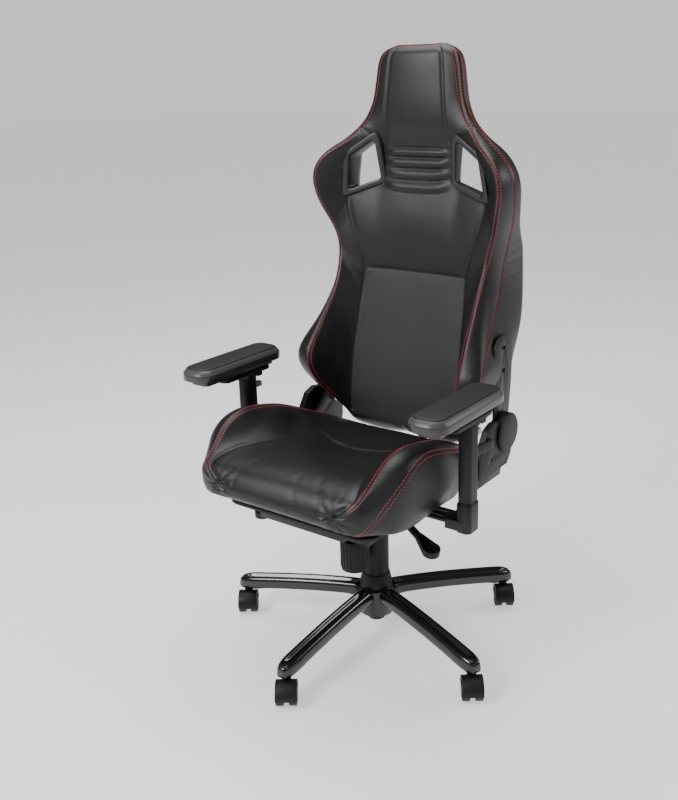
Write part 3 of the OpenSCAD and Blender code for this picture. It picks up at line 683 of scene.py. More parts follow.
def welt(name, cover, line, radius, body, material, sink=0.3):
    """A round piping that lies on a cover along a line."""
    places, outs = on_surface(surface_tree(cover), resample(line, WELT_PITCH))
    places = places + outs * radius * (1 - 2 * sink)
    along = np.gradient(places, axis=0)
    along /= np.linalg.norm(along, axis=1)[:, None]
    across = np.cross(along, outs)
    across /= np.linalg.norm(across, axis=1)[:, None]
    up = np.cross(across, along)
    points = []
    for p, a, u in zip(places, across, up):
        for k in range(WELT_SIDES):
            t = math.tau * k / WELT_SIDES
            points.append(p + radius * (a * math.cos(t) + u * math.sin(t)))
    obj = mesh_object(name, points, tube_faces(len(places), WELT_SIDES))
    close_up(obj)
    smooth(obj, 60)
    paint(obj, material)
    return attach(obj, body)


# Back

# Height, then in half sections: ridge (x, y), outer seam (x, y), rear edge (x, y),
# panel seam (x, y), middle of the front (y) and middle of the rear (y)
BACK = Profile([
    (0.452, 0.140, 0.132, 0.150, 0.140, 0.150, 0.158, 0.128, 0.128, 0.124, 0.164),
    (0.462, 0.147, 0.126, 0.156, 0.135, 0.156, 0.161, 0.136, 0.120, 0.116, 0.170),
    (0.474, 0.154, 0.121, 0.163, 0.131, 0.162, 0.164, 0.140, 0.115, 0.112, 0.174),
    (0.500, 0.166, 0.106, 0.178, 0.118, 0.182, 0.176, 0.143, 0.112, 0.112, 0.186),
    (0.520, 0.176, 0.090, 0.192, 0.106, 0.198, 0.190, 0.143, 0.111, 0.114, 0.198),
    (0.545, 0.184, 0.068, 0.207, 0.084, 0.212, 0.202, 0.143, 0.114, 0.118, 0.212),
    (0.570, 0.190, 0.047, 0.222, 0.066, 0.219, 0.212, 0.143, 0.118, 0.124, 0.224),
    (0.595, 0.194, 0.032, 0.235, 0.053, 0.221, 0.222, 0.143, 0.122, 0.129, 0.234),
    (0.620, 0.196, 0.024, 0.242, 0.048, 0.221, 0.232, 0.142, 0.127, 0.134, 0.244),
    (0.650, 0.196, 0.029, 0.243, 0.058, 0.221, 0.244, 0.141, 0.133, 0.141, 0.256),
    (0.674, 0.195, 0.044, 0.236, 0.078, 0.221, 0.256, 0.140, 0.139, 0.147, 0.270),
    (0.717, 0.192, 0.073, 0.222, 0.126, 0.220, 0.276, 0.138, 0.148, 0.157, 0.292),
    (0.760, 0.189, 0.104, 0.213, 0.164, 0.214, 0.296, 0.136, 0.158, 0.166, 0.306),
    (0.797, 0.188, 0.126, 0.208, 0.190, 0.209, 0.306, 0.134, 0.166, 0.173, 0.314),
    (0.837, 0.191, 0.143, 0.206, 0.203, 0.207, 0.308, 0.134, 0.171, 0.177, 0.316),
    (0.863, 0.195, 0.152, 0.208, 0.208, 0.208, 0.304, 0.141, 0.169, 0.177, 0.312),
    (0.886, 0.200, 0.155, 0.212, 0.212, 0.212, 0.294, 0.149, 0.167, 0.176, 0.303),
    (0.909, 0.207, 0.153, 0.218, 0.210, 0.217, 0.274, 0.158, 0.166, 0.176, 0.290),
    (0.934, 0.216, 0.145, 0.227, 0.203, 0.225, 0.250, 0.167, 0.167, 0.178, 0.270),
    (0.964, 0.227, 0.132, 0.238, 0.189, 0.235, 0.232, 0.176, 0.169, 0.183, 0.250),
    (0.993, 0.236, 0.123, 0.245, 0.178, 0.240, 0.222, 0.180, 0.173, 0.190, 0.240),
    (1.016, 0.240, 0.119, 0.248, 0.172, 0.242, 0.218, 0.176, 0.178, 0.195, 0.234),
    (1.039, 0.239, 0.117, 0.247, 0.169, 0.240, 0.215, 0.160, 0.182, 0.197, 0.230),
    (1.061, 0.232, 0.119, 0.240, 0.168, 0.232, 0.214, 0.138, 0.186, 0.197, 0.227),
    (1.088, 0.209, 0.128, 0.221, 0.169, 0.214, 0.212, 0.108, 0.190, 0.195, 0.224),
    (1.101, 0.192, 0.138, 0.207, 0.173, 0.201, 0.210, 0.094, 0.190, 0.192, 0.223),
    (1.113, 0.172, 0.152, 0.188, 0.179, 0.184, 0.208, 0.084, 0.187, 0.187, 0.222),
    (1.134, 0.150, 0.168, 0.162, 0.187, 0.160, 0.205, 0.077, 0.180, 0.179, 0.221),
    (1.150, 0.135, 0.177, 0.146, 0.192, 0.144, 0.206, 0.076, 0.177, 0.174, 0.222),
    (1.186, 0.115, 0.184, 0.124, 0.198, 0.122, 0.213, 0.074, 0.176, 0.172, 0.225),
    (1.244, 0.102, 0.188, 0.111, 0.202, 0.108, 0.219, 0.069, 0.179, 0.174, 0.230),
    (1.280, 0.096, 0.190, 0.105, 0.204, 0.102, 0.219, 0.066, 0.182, 0.177, 0.230),
    (1.298, 0.088, 0.192, 0.097, 0.205, 0.094, 0.218, 0.063, 0.184, 0.180, 0.227),
    (1.307, 0.078, 0.195, 0.086, 0.206, 0.083, 0.217, 0.058, 0.188, 0.185, 0.224),
    (1.312, 0.066, 0.200, 0.073, 0.208, 0.071, 0.215, 0.050, 0.195, 0.193, 0.219),
    (1.314, 0.056, 0.204, 0.062, 0.208, 0.060, 0.212, 0.044, 0.202, 0.201, 0.215),
], softness=0.006)
RIDGE_X, RIDGE_Y, PANEL_X = 0, 1, 6
BACK_SPAN, BACK_ROW = (0.4525, 1.3139), 0.0066
BACK_FOOT_Y, BACK_FOOT_Z, BACK_TOP_Z = 0.145, 0.4515, 1.3144
HEAD_Y = 0.208
LUMBAR_FOOT_Z = 0.48
LUMBAR_Z = 0.825
NECK_SEAMS = (1.100, 1.077, 1.053, 1.027, 1.000)
NECK_HALF = 0.081
PLEAT_RISE, PLEAT_SINK = 0.0085, 0.0035
# Corners of the opening on the +X side, as (x, z)
OPENING = ((0.098, 1.030), (0.177, 1.003), (0.166, 1.078), (0.106, 1.116))
# Place along Y of the cut's three outlines, and how far each lies outside the corners
OPENING_CUT = ((0.05, 0.006), (0.205, 0.006), (0.26, 0.022))
# Rings of a bezel: growth of the outline, and its depth behind the front or its place along Y
BEZEL_FRONT = ((0.0140, 0.016), (0.0142, 0.001), (0.0130, -0.0035), (0.0105, -0.0050),
               (0.0040, -0.0050), (0.0015, -0.0035), (0.0, 0.0))
BEZEL_REAR = ((0.0, 0.2040), (0.0025, 0.2110), (0.0130, 0.2310), (0.0170, 0.2350),
              (0.0220, 0.2360), (0.0260, 0.2335), (0.0240, 0.2280))
BLACK_ROWS, BLACK_THREAD_RADIUS = (-0.003, 0.003), 0.0005


def back_half_section(z):
    xr, yr, xo, yo, xb, yb, xs, ys, yc, ybc = BACK(z)
    half = [np.array([[0.0, yc]])]
    t = np.arange(1, 13) / 12
    half.append(np.stack([xs * t, yc + (ys - yc) * t**2], axis=1))
    t = np.arange(1, 11) / 10
    rise = 0.45 * t + 0.55 * t**2
    half.append(np.stack([xs + (xr - xs) * t, ys + (yr - ys) * rise], axis=1))
    half.append(arc((xr, yr), (xo + 0.1 * (xo - xr), yr + 0.22 * (yo - yr)), (xo, yo), 6))
    half.append(arc((xo, yo), (max(xo, xb) + 0.001, (yo + yb) / 2), (xb, yb), 8))
    turn = min(0.035, xb * 0.35)
    inner = (xb - turn, ybc - 0.25 * (ybc - yb))
    half.append(arc((xb, yb), (xb - 0.002, inner[1]), inner, 5))
    half.append(arc(inner, (inner[0] * 0.5, ybc), (0.0, ybc), 8))
    section = np.concatenate(half)
    return np.insert(section, 2, z, axis=1)


def back_line(kind, low, high, side, step=0.006):
    """A seam line of the back from one height to another: panel, ridge, outer or rear."""
    at = {"ridge": RIDGE_X, "outer": 2, "rear": 4, "panel": PANEL_X}[kind]
    keys = np.arange(low, high, step)
    return np.array([[side * BACK(z)[at], BACK(z)[at + 1], z] for z in keys])


def back_front(x, z):
    """Place along Y of the back's front."""
    xr, yr, _, _, _, _, xs, ys, yc, _ = BACK(z)
    if abs(x) <= xs:
        return yc + (ys - yc) * (x / xs) ** 2
    u = (abs(x) - xs) / max(xr - xs, 1e-6)
    return ys + (yr - ys) * (0.45 * u + 0.55 * u * u)


def front_line(points):
    """A line over the back's front, given as (x, z) points."""
    line = []
    for (xa, za), (xb, zb) in zip(points[:-1], points[1:]):
        for t in np.linspace(0, 1, 16):
            x, z = xa + (xb - xa) * t, za + (zb - za) * t
            line.append((x, back_front(x, z), z))
    return np.array(line)


def back_seams():
    lines = {"ridge": [], "outer": [], "rear": [], "panel": [], "cross": []}
    for _, side in SIDES:
        lines["ridge"].append(back_line("ridge", 0.50, 1.31, side))
        lines["outer"].append(back_line("outer", 0.50, 1.31, side))
        lines["rear"].append(back_line("rear", 0.49, 1.31, side))
        lines["panel"].append(back_line("panel", 0.49, 1.0, side))
        lines["panel"].append(back_line("panel", 1.115, 1.31, side))
        lines["cross"].append(front_line([(side * 0.112, 1.125), (side * 0.150, 1.148)]))
    lines["cross"].append(front_line([(-0.134, LUMBAR_Z), (0.134, LUMBAR_Z)]))
    return lines


def neck_curve(z, x):
    """Height of a neck seam at x: the lowest is a smile, the top ones are level."""
    low = (1.100 - z) / 0.1
    return z + 0.010 * low * (x / NECK_HALF) ** 4


def pleat(obj):
    """Four soft folds across the neck."""
    co = vertex_data(obj, "co")
    x, y, z = co.T
    seams = np.array([neck_curve(s, x) for s in NECK_SEAMS])
    top, bottom = seams[0], seams[-1]
    inside = (z < top) & (z > bottom) & (y < 0.212) & (np.abs(x) < 0.09)
    swellings = np.zeros(len(co))
    for upper, lower in zip(seams[:-1], seams[1:]):
        t = np.clip((z - lower) / (upper - lower), 0, 1)
        swellings = np.maximum(swellings, np.where((z <= upper) & (z >= lower),
                                                   np.sin(np.pi * t) ** 0.62, 0))
    edge = np.clip((NECK_HALF + 0.006 - np.abs(x)) / 0.030, 0, 1)
    edge = edge * edge * (3 - 2 * edge)
    co[:, 1] -= np.where(inside, (swellings * PLEAT_RISE - PLEAT_SINK) * edge, 0)
    write_coordinates(obj, co)


def rounded_outline(corners, grow, radius, steps=6):
    """Corners of a polygon moved out by grow and rounded, anticlockwise, as (x, z)."""
    pts = np.array(corners, float)
    n = len(pts)
    grown = []
    for i in range(n):
        a, b, c = pts[i - 1], pts[i], pts[(i + 1) % n]
        d1, d2 = (b - a) / np.linalg.norm(b - a), (c - b) / np.linalg.norm(c - b)
        n1, n2 = np.array([d1[1], -d1[0]]), np.array([d2[1], -d2[0]])
        grown.append(b + grow * (n1 + n2) / (1 + n1 @ n2))
    out = []
    for i in range(n):
        a, b, c = grown[i - 1], grown[i], grown[(i + 1) % n]
        to_a, to_c = (a - b) / np.linalg.norm(a - b), (c - b) / np.linalg.norm(c - b)
        half = math.acos(np.clip(to_a @ to_c, -1, 1)) / 2
        cut = radius / math.tan(half)
        p0, p2 = b + to_a * cut, b + to_c * cut
        out.append(p0)
        out += list(arc(p0, b, p2, steps))
    return np.array(out)


class CHAIR_OT_back(bpy.types.Operator):
    """Upholstered back: winged foam body with sewn panels, pleated neck and two openings"""

    bl_idname = "chair.back"
    bl_label = "Back"

    def execute(self, context):
        keys = spread_rows(BACK, RIDGE_X, RIDGE_Y, *BACK_SPAN, BACK_ROW)
        rings = [mirrored_ring(back_half_section(z)) for z in keys]
        low, high = rings[0], rings[-1]
        start, end = [], []
        for share in (1.0, 0.66, 0.33):
            ring = low.copy()
            ring[:, 1] += (BACK_FOOT_Y - ring[:, 1]) * share
            ring[:, 2] = BACK_FOOT_Z
            start.append(ring)
        for share in (0.5, 1.0):
            ring = high.copy()
            ring[:, 1] += (HEAD_Y - ring[:, 1]) * share
            ring[:, 2] = BACK_TOP_Z
            end.append(ring)
        body = loft("back_cover", start + rings + end)
        seams = back_seams()
        held = seams["ridge"] + seams["outer"] + seams["rear"] + seams["panel"] + seams["cross"]
        plates = [front_line([(side * 0.1, 1.0), (side * 0.1, 1.11)]) for _, side in SIDES]
        swell(body, held + plates, sizes().crown)
        apply_modifier(body, "SUBSURF", levels=1, render_levels=1)
        pleat(body)
        depth = sizes().seam_depth
        crease(body, seams["panel"] + seams["cross"], depth, 0.0038)
        crease(body, seams["ridge"] + seams["outer"], depth * 0.6, 0.0034)
        crease(body, seams["rear"], depth * 0.6, 0.004)
        points, faces = [], []
        for _, side in SIDES:
            outlines = [rounded_outline(OPENING, grow, 0.012) * np.array([side, 1])
                        for _, grow in OPENING_CUT]
            n, first = len(outlines[0]), len(points)
            points += [(x, y, z) for (y, _), outline in zip(OPENING_CUT, outlines)
                       for x, z in outline]
            faces.append(tuple(first + k for k in range(n)))
            faces.append(tuple(first + k for k in range(3 * n - 1, 2 * n - 1, -1)))
            faces += [(first + r + (k + 1) % n, first + r + k, first + r + n + k,
                       first + r + n + (k + 1) % n) for r in (0, n) for k in range(n)]
        cutter = mesh_object("cutter", points, faces)
        close_up(cutter)
        cut_away(body, cutter)
        paint(body, FINISH["leather"], FINISH["lumbar"])
        centres = np.empty(len(body.data.polygons) * 3, np.float32)
        body.data.polygons.foreach_get("center", centres)
        for face, (x, y, z) in zip(body.data.polygons, centres.reshape(-1, 3)):
            face.use_smooth = True
            if LUMBAR_FOOT_Z < z < LUMBAR_Z and y < 0.19 and abs(x) < BACK(z)[PANEL_X]:
                face.material_index = 1
        place(body, "back", "black_leather", "back_cushion")
        rows = sizes().row_spacing / 2
        red = []
        for _, side in SIDES:
            red.append(back_line("ridge", 0.515, 1.306, side))
            red.append(back_line("outer", 0.53, 1.30, side))
        top = [(x, HEAD_Y - 0.012, 1.3125) for x in np.linspace(-0.055, 0.055, 20)]
        sew("back_red_stitches", body, red + [np.array(top)], "back", FINISH["thread"],
            (-rows, rows))
        black = [back_line("panel", 1.125, 1.30, side) for _, side in SIDES]
        sew("head_black_stitches", body, black, "back", FINISH["black_thread"], BLACK_ROWS,
            BLACK_THREAD_RADIUS)
        return {"FINISHED"}


class CHAIR_OT_bezels(bpy.types.Operator):
    """Moulded rings that line the two openings of the back"""

    bl_idname = "chair.bezels"
    bl_label = "Opening bezels"

    def execute(self, context):
        middle = rounded_outline(OPENING, 0.012, 0.014)
        front = np.array([back_front(x, z) for x, z in middle])
        tilt = np.linalg.lstsq(np.c_[middle, np.ones(len(middle))], front, rcond=None)[0]
        for name, side in SIDES:
            rings = []
            for grow, deep in BEZEL_FRONT:
                outline = rounded_outline(OPENING, grow, 0.009 + grow * 0.4)
                rings.append([(x, x * tilt[0] + z * tilt[1] + tilt[2] + deep, z)
                              for x, z in outline])
            for grow, y in BEZEL_REAR:
                outline = rounded_outline(OPENING, grow, 0.009 + grow * 0.4)
                rings.append([(x, y, z) for x, z in outline])
            rings.append(rings[0])
            rings = np.array(rings) * np.array([side, 1, 1])
            ring = loft("opening_bezel_" + name, rings)
            smooth(ring, 40)
            paint(ring, FINISH["bezel"])
            place(ring, "back", "matte_black", "back_bezel_" + name)
        return {"FINISHED"}


# Seat

# Place along Y, then in half sections: panel seam (x, z), inner ridge (x, z), outer
# ridge (x, z), half width, middle of the top (z) and underside (z)
SEAT = Profile([
    (-0.347, 0.120, 0.458, 0.130, 0.457, 0.138, 0.455, 0.142, 0.459, 0.446),
    (-0.344, 0.146, 0.468, 0.156, 0.467, 0.164, 0.464, 0.168, 0.470, 0.438),
    (-0.338, 0.168, 0.481, 0.178, 0.480, 0.186, 0.476, 0.192, 0.483, 0.433),
    (-0.332, 0.178, 0.490, 0.188, 0.489, 0.197, 0.484, 0.204, 0.491, 0.430),
    (-0.315, 0.180, 0.501, 0.194, 0.503, 0.206, 0.494, 0.215, 0.502, 0.426),
    (-0.300, 0.175, 0.507, 0.197, 0.514, 0.214, 0.503, 0.223, 0.507, 0.423),
    (-0.281, 0.168, 0.512, 0.199, 0.530, 0.223, 0.518, 0.234, 0.509, 0.419),
    (-0.261, 0.161, 0.514, 0.201, 0.547, 0.232, 0.535, 0.244, 0.508, 0.414),
    (-0.235, 0.151, 0.514, 0.202, 0.561, 0.237, 0.549, 0.250, 0.506, 0.409),
    (-0.198, 0.137, 0.511, 0.203, 0.568, 0.239, 0.556, 0.251, 0.501, 0.403),
    (-0.160, 0.121, 0.505, 0.205, 0.565, 0.240, 0.553, 0.251, 0.496, 0.401),
    (-0.126, 0.110, 0.500, 0.206, 0.558, 0.240, 0.546, 0.251, 0.490, 0.401),
    (-0.074, 0.098, 0.492, 0.203, 0.545, 0.239, 0.532, 0.250, 0.484, 0.401),
    (-0.020, 0.091, 0.486, 0.199, 0.523, 0.234, 0.508, 0.245, 0.479, 0.401),
    (0.020, 0.088, 0.480, 0.192, 0.504, 0.220, 0.490, 0.231, 0.476, 0.402),
    (0.050, 0.087, 0.476, 0.186, 0.490, 0.211, 0.478, 0.222, 0.473, 0.405),
    (0.080, 0.086, 0.471, 0.181, 0.477, 0.205, 0.466, 0.219, 0.470, 0.414),
    (0.096, 0.085, 0.465, 0.178, 0.466, 0.200, 0.456, 0.214, 0.465, 0.428),
    (0.102, 0.084, 0.455, 0.172, 0.455, 0.192, 0.448, 0.205, 0.455, 0.440),
], softness=0.005)


SEAT_INNER_Z, SEAT_TOP_Z = 3, 7
SEAT_SPAN, SEAT_ROW = (-0.3465, 0.1015), 0.0062
NOSE_Y, NOSE_Z = -0.3475, 0.452
REAR_Y, REAR_Z = 0.1022, 0.448
PIPING_RADIUS = 0.0026
# Middle of the small wrinkles at the +X front corner, their height and their reach
WRINKLES, WRINKLE_HEIGHT, WRINKLE_REACH = (0.150, -0.335, 0.462), 0.0016, 0.035


def seat_half_section(y):
    xs, zs, xi, zi, xo, zo, w, zc, zb = SEAT(y)
    half = [np.array([[0.0, zc]])]
    t = np.arange(1, 13) / 12
    half.append(np.stack([xs * t, zc + (zs - zc) * t**2], axis=1))
    t = np.arange(1, 9) / 8
    half.append(np.stack([xs + (xi - xs) * t, zs + (zi - zs) * (0.4 * t + 0.6 * t**2)], axis=1))
    half.append(arc((xi, zi), (xi + 0.6 * (xo - xi), zi + 0.003), (xo, zo), 5))
    mid = (w, zo - 0.35 * (zo - zb))
    half.append(arc((xo, zo), (w, zo - 0.05 * (zo - zb)), mid, 4))
    foot = (w - 0.016, zb)
    half.append(arc(mid, (w, zb + 0.25 * (mid[1] - zb)), foot, 5))
    half.append(straight(foot, (0.0, zb), 10))
    section = np.concatenate(half)
    return np.stack([section[:, 0], np.full(len(section), y), section[:, 1]], axis=1)


def seat_top(x, y):
    """Height of the seat's top at a place."""
    xs, zs, xi, zi, xo, zo, w, zc, zb = SEAT(y)
    ax = abs(x)
    if ax <= xs:
        return zc + (zs - zc) * (ax / xs) ** 2
    if ax <= xi:
        t = (ax - xs) / (xi - xs)
        return zs + (zi - zs) * (0.4 * t + 0.6 * t * t)
    return zi + (zo - zi) * min(1.0, (ax - xi) / max(xo - xi, 1e-6))


def seat_line(kind, low, high, side, step=0.005):
    at = {"panel": 0, "inner": 2, "outer": 4}[kind]
    keys = np.arange(low, high, step)
    return np.array([[side * SEAT(y)[at], y, SEAT(y)[at + 1]] for y in keys])


def top_line(points, per=14):
    """A line over the seat's top through (x, y) points."""
    line = []
    for (xa, ya), (xb, yb) in zip(points[:-1], points[1:]):
        for t in np.linspace(0, 1, per):
            x, y = xa + (xb - xa) * t, ya + (yb - ya) * t
            line.append((x, y, seat_top(x, y)))
    return np.array(line)


def bolster_seam(side):
    """Outer seam of a bolster, from the cushion's foot up over the bolster to the rear."""
    foot = [(0.196, -0.331, 0.424), (0.203, -0.320, 0.440), (0.212, -0.299, 0.462),
            (0.221, -0.275, 0.487), (0.228, -0.250, 0.512), (0.233, -0.226, 0.531),
            (0.237, -0.195, 0.543), (0.240, -0.158, 0.546), (0.240, -0.126, 0.541),
            (0.239, -0.090, 0.531), (0.236, -0.050, 0.517)]
    line = resample(np.concatenate([foot, seat_line("outer", -0.02, 0.09, 1)]), 0.004)
    for _ in range(6):
        line[1:-1] = (line[:-2] + 2 * line[1:-1] + line[2:]) / 4
    return line * np.array([side, 1, 1])


def seat_seams():
    lines = {"panel": [], "inner": [], "outer": [], "thigh": [], "cross": []}
    for _, side in SIDES:
        lines["panel"].append(seat_line("panel", -0.346, 0.10, side))
        lines["inner"].append(seat_line("inner", -0.342, 0.09, side))
        lines["outer"].append(bolster_seam(side))
        lines["thigh"].append(np.concatenate([
            np.array([(side * 0.106, -0.347, 0.449), (side * 0.106, -0.345, 0.466)]),
            top_line([(side * 0.106, -0.338), (side * 0.094, -0.315), (side * 0.078, -0.27),
                      (side * 0.060, -0.215)])]))
    lines["thigh"].append(np.concatenate([
        np.array([(0.046, -0.347, 0.449), (0.048, -0.345, 0.466)]),
        top_line([(0.047, -0.338), (0.035, -0.30), (0.020, -0.24), (0.024, -0.165)])]))
    lines["thigh"].append(top_line([(0.024, -0.165), (-0.010, -0.152), (-0.045, -0.150)]))
    lines["cross"].append(top_line([(-0.100, -0.055), (-0.06, -0.076), (0.0, -0.086),
                                    (0.06, -0.076), (0.100, -0.055)]))
    return lines


def gather(obj):
    """Small tension wrinkles at the front corners, and a slow unevenness of the top."""
    co, out = vertex_data(obj, "co"), vertex_data(obj, "normal")
    x, y, z = co.T
    wave = np.zeros(len(co))
    for side in (-1, 1):
        spot = np.array(WRINKLES) * np.array([side, 1, 1])
        d = np.linalg.norm(co - spot, axis=1)
        turn = np.arctan2(z - spot[2], (x - spot[0]) * side)
        fade = np.exp(-((d / WRINKLE_REACH) ** 2))
        wave += WRINKLE_HEIGHT * fade * np.sin(turn * 11 + 1.3 * side)
    slow = np.sin(x * 23 + y * 9) * np.sin(y * 31 - x * 7)
    wave += np.where((z > 0.46) & (np.abs(x) < 0.17), 0.0007 * slow, 0)
    write_coordinates(obj, co + out * wave[:, None])


class CHAIR_OT_seat(bpy.types.Operator):
    """Upholstered seat: front roll, side bolsters and sewn middle"""

    bl_idname = "chair.seat"
    bl_label = "Seat"

    def execute(self, context):
        keys = spread_rows(SEAT, SEAT_INNER_Z, SEAT_TOP_Z, *SEAT_SPAN, SEAT_ROW)
        rings = [mirrored_ring(seat_half_section(y)) for y in keys]
        start, end = [], []
        for share in (1.0, 0.5):
            ring = rings[0].copy()
            ring[:, 2] += (NOSE_Z - ring[:, 2]) * share
            ring[:, 1] = NOSE_Y
            start.append(ring)
        for share in (0.4, 0.75, 1.0):
            ring = rings[-1].copy()
            ring[:, 2] += (REAR_Z - ring[:, 2]) * share
            ring[:, 1] = REAR_Y
            end.append(ring)
        body = loft("seat_cover", start + rings + end)
        seams = seat_seams()
        held = [line for name in seams if name != "thigh" for line in seams[name]]
        base = [np.array([(x, -0.30, 0.42), (x, 0.09, 0.41)]) for x in (-0.15, -0.05, 0.05, 0.15)]
        base += [np.array([(-0.165, y, z), (0.165, y, z)])
                 for y, z in ((NOSE_Y, NOSE_Z), (-0.344, 0.438))]
        swell(body, held + base, sizes().crown, hold=0.0045)
        apply_modifier(body, "SUBSURF", levels=1, render_levels=1)
        gather(body)
        depth = sizes().seam_depth
        crease(body, seams["panel"] + seams["cross"], depth * 1.2, 0.0042)
        crease(body, seams["thigh"], depth * 0.6, 0.0026)
        crease(body, seams["inner"] + seams["outer"], depth * 0.6, 0.0034)
        for face in body.data.polygons:
            face.use_smooth = True
        paint(body, FINISH["leather"])
        place(body, "seat", "black_leather", "seat_cushion")
        rows = sizes().row_spacing / 2
        red = []
        for _, side in SIDES:
            red.append(seat_line("inner", -0.337, 0.085, side))
            red.append(bolster_seam(side))
        sew("seat_red_stitches", body, red, "seat", FINISH["thread"], (-rows, rows))
        rear = [(x, 0.099, 0.462) for x in np.linspace(-0.165, 0.165, 40)]
        piping = welt("seat_rear_piping", body, rear, PIPING_RADIUS, "seat", FINISH["leather"])
        return {"FINISHED"}


# Armrests


class CHAIR_OT_armrest_pads(bpy.types.Operator):
    """Armrest tops: a bevelled hard rim round a soft inset pad"""

    bl_idname = "chair.armrest_pads"
    bl_label = "Armrest pads"

    def execute(self, context):
        for name, side in SIDES:
            self.rim(name)
            self.pad(name)
        return {"FINISHED"}

    def block(self, label, low, high, corner, segments=8):
        """A cube between two corners with rounded upright edges, left open in edit mode."""
        centre = (low + high) / 2
        bpy.ops.mesh.primitive_cube_add(size=1, location=centre)
        obj = bpy.context.active_object
        obj.name = obj.data.name = label
        obj.scale = high - low
        settle(obj)
        edit(obj)
        select_parts(obj, "edges", lambda e: abs(e.verts[0].co.z - e.verts[1].co.z) > 0.003)
        bpy.ops.mesh.bevel(offset=corner, segments=segments, affect="EDGES")
        return obj

    def rim(self, name):
        low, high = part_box("arm_rim_" + name)
        low = Vector((low.x, low.y, high.z - 0.023))
        top = Vector((high.x, high.y, high.z - 0.0075))
        obj = self.block("armrest_rim_" + name, low, top, 0.033)
        select_parts(obj, "faces", lambda f: f.normal.z > 0.9)
        bpy.ops.mesh.extrude_region_move(TRANSFORM_OT_translate={"value": (0, 0, 0.0105)})
        select_parts(obj, "faces", lambda f: f.normal.z > 0.9 and f.calc_center_median().z > top.z)
        bpy.ops.mesh.inset(thickness=0.0085, use_even_offset=True)
        mesh = bmesh.from_edit_mesh(obj.data)
        inner = {v for f in mesh.faces if f.select for v in f.verts}
        outer = {v for v in mesh.verts if v.co.z > top.z + 0.005 and v not in inner}
        for v in outer:
            v.co.z = top.z
        bmesh.update_edit_mesh(obj.data)
        select_parts(obj, "faces", lambda f: f.normal.z > 0.999 and
                     f.calc_center_median().z > top.z + 0.008)
        bpy.ops.mesh.inset(thickness=0.0016, use_even_offset=True)
        raise_selected(-0.0035)
        bpy.ops.mesh.select_all(action="SELECT")
        bpy.ops.mesh.remove_doubles(threshold=0.0002)
        bpy.ops.mesh.normals_make_consistent(inside=False)
        select_parts(obj, "faces", lambda f: f.normal.z < -0.9)
        bpy.ops.mesh.inset(thickness=0.006, use_even_offset=True)
        done()
        break_edges(obj, 0.0011, 2, 28)
        smooth(obj, 32)
        paint(obj, FINISH["rim"], FINISH["rim_side"], FINISH["pad"])
        for face in obj.data.polygons:
            if abs(face.normal.z) < 0.35 or face.normal.z < -0.3:
                face.material_index = 1
        place(obj, "pad_" + name, "rim_grey")
        foot = refine("arm_rim_" + name, "pad_" + name, "rim_side", "rim_grey", 0.0008)
        edit(foot)
        select_parts(foot, "verts", lambda v: v.co.z > low.z + 0.0015)
        bpy.ops.mesh.delete(type="VERT")
        select_parts(foot, "edges", lambda e: len(e.link_faces) == 1)
        bpy.ops.mesh.delete(type="EDGE_FACE")
        done()

    def pad(self, name):
        low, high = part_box("arm_pad_" + name)
        grow = Vector((0.0006, 0.0006, 0))
        low = low - grow
        high = high + grow
        high.z -= 0.0012
        obj = self.block("armrest_pad_" + name, low, high, 0.023)
        select_parts(obj, "faces", lambda f: f.normal.z > 0.9)
        for thickness, rise in ((0.0022, 0.0009), (0.006, 0.0007), (0.011, 0.0004)):
            bpy.ops.mesh.inset(thickness=thickness, use_even_offset=True)
            raise_selected(rise)
        done()
        break_edges(obj, 0.0012, 3, 40)
        smooth(obj, 40)
        paint(obj, FINISH["pad"])
        place(obj, "pad_" + name, "soft_pad", "arm_pad_" + name)


# Hard parts


FINISH_OF_SLOT = {
    "gloss_base": "gloss", "black_steel": "steel", "bush_nylon": "nylon", "zinc_steel": "zinc",
    "matte_black": "plastic", "wheel_nylon": "wheel", "plywood": "pan",
    "black_leather": "leather", "rim_grey": "rim", "release_grey": "tab", "soft_pad": "pad"}
# Width of the broken edges of the nodes that show
SINGLE_EDGES = {
    "cover_bottom": 0.0006, "cover_top": 0.0005, "tilt_housing": 0.001, "tension_knob": 0.0006,
    "height_lever": 0.0022, "lock_lever": 0.002, "seat_plate": 0.0006, "seat_frame": 0.001,
    "seat_pan": 0.0015, "recline_lever": 0.002}
PAIR_EDGES = {
    "hinge_plate": 0.0006, "back_plate": 0.0009, "hinge_cover": 0.0016, "recline_cap": 0.0016,
    "arm_post": 0.0012, "arm_sleeve": 0.0012, "arm_release": 0.0008, "arm_turntable": 0.0008}


def refine(node, body, finish, material_slot, width):
    """A copy of a CAD node with its edges broken, in its finish."""
    source = frame["nodes"][node]
    obj = source.copy()
    obj.data = source.data.copy()
    obj.parent = None
    obj.matrix_world = Matrix.Identity(4)
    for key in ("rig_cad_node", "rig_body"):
        if key in obj:
            del obj[key]
    obj.name = obj.data.name = node + "_finished"
    bpy.context.scene.collection.objects.link(obj)
    edit(obj)
    bpy.ops.mesh.select_all(action="SELECT")
    bpy.ops.mesh.remove_doubles(threshold=0.00002)
    bpy.ops.mesh.dissolve_limited(angle_limit=math.radians(0.6))
    done()
    break_edges(obj, width, 2, 30, use_clamp_overlap=True)
    smooth(obj, 34)
    paint(obj, FINISH[finish])
    return place(obj, body, material_slot, node)


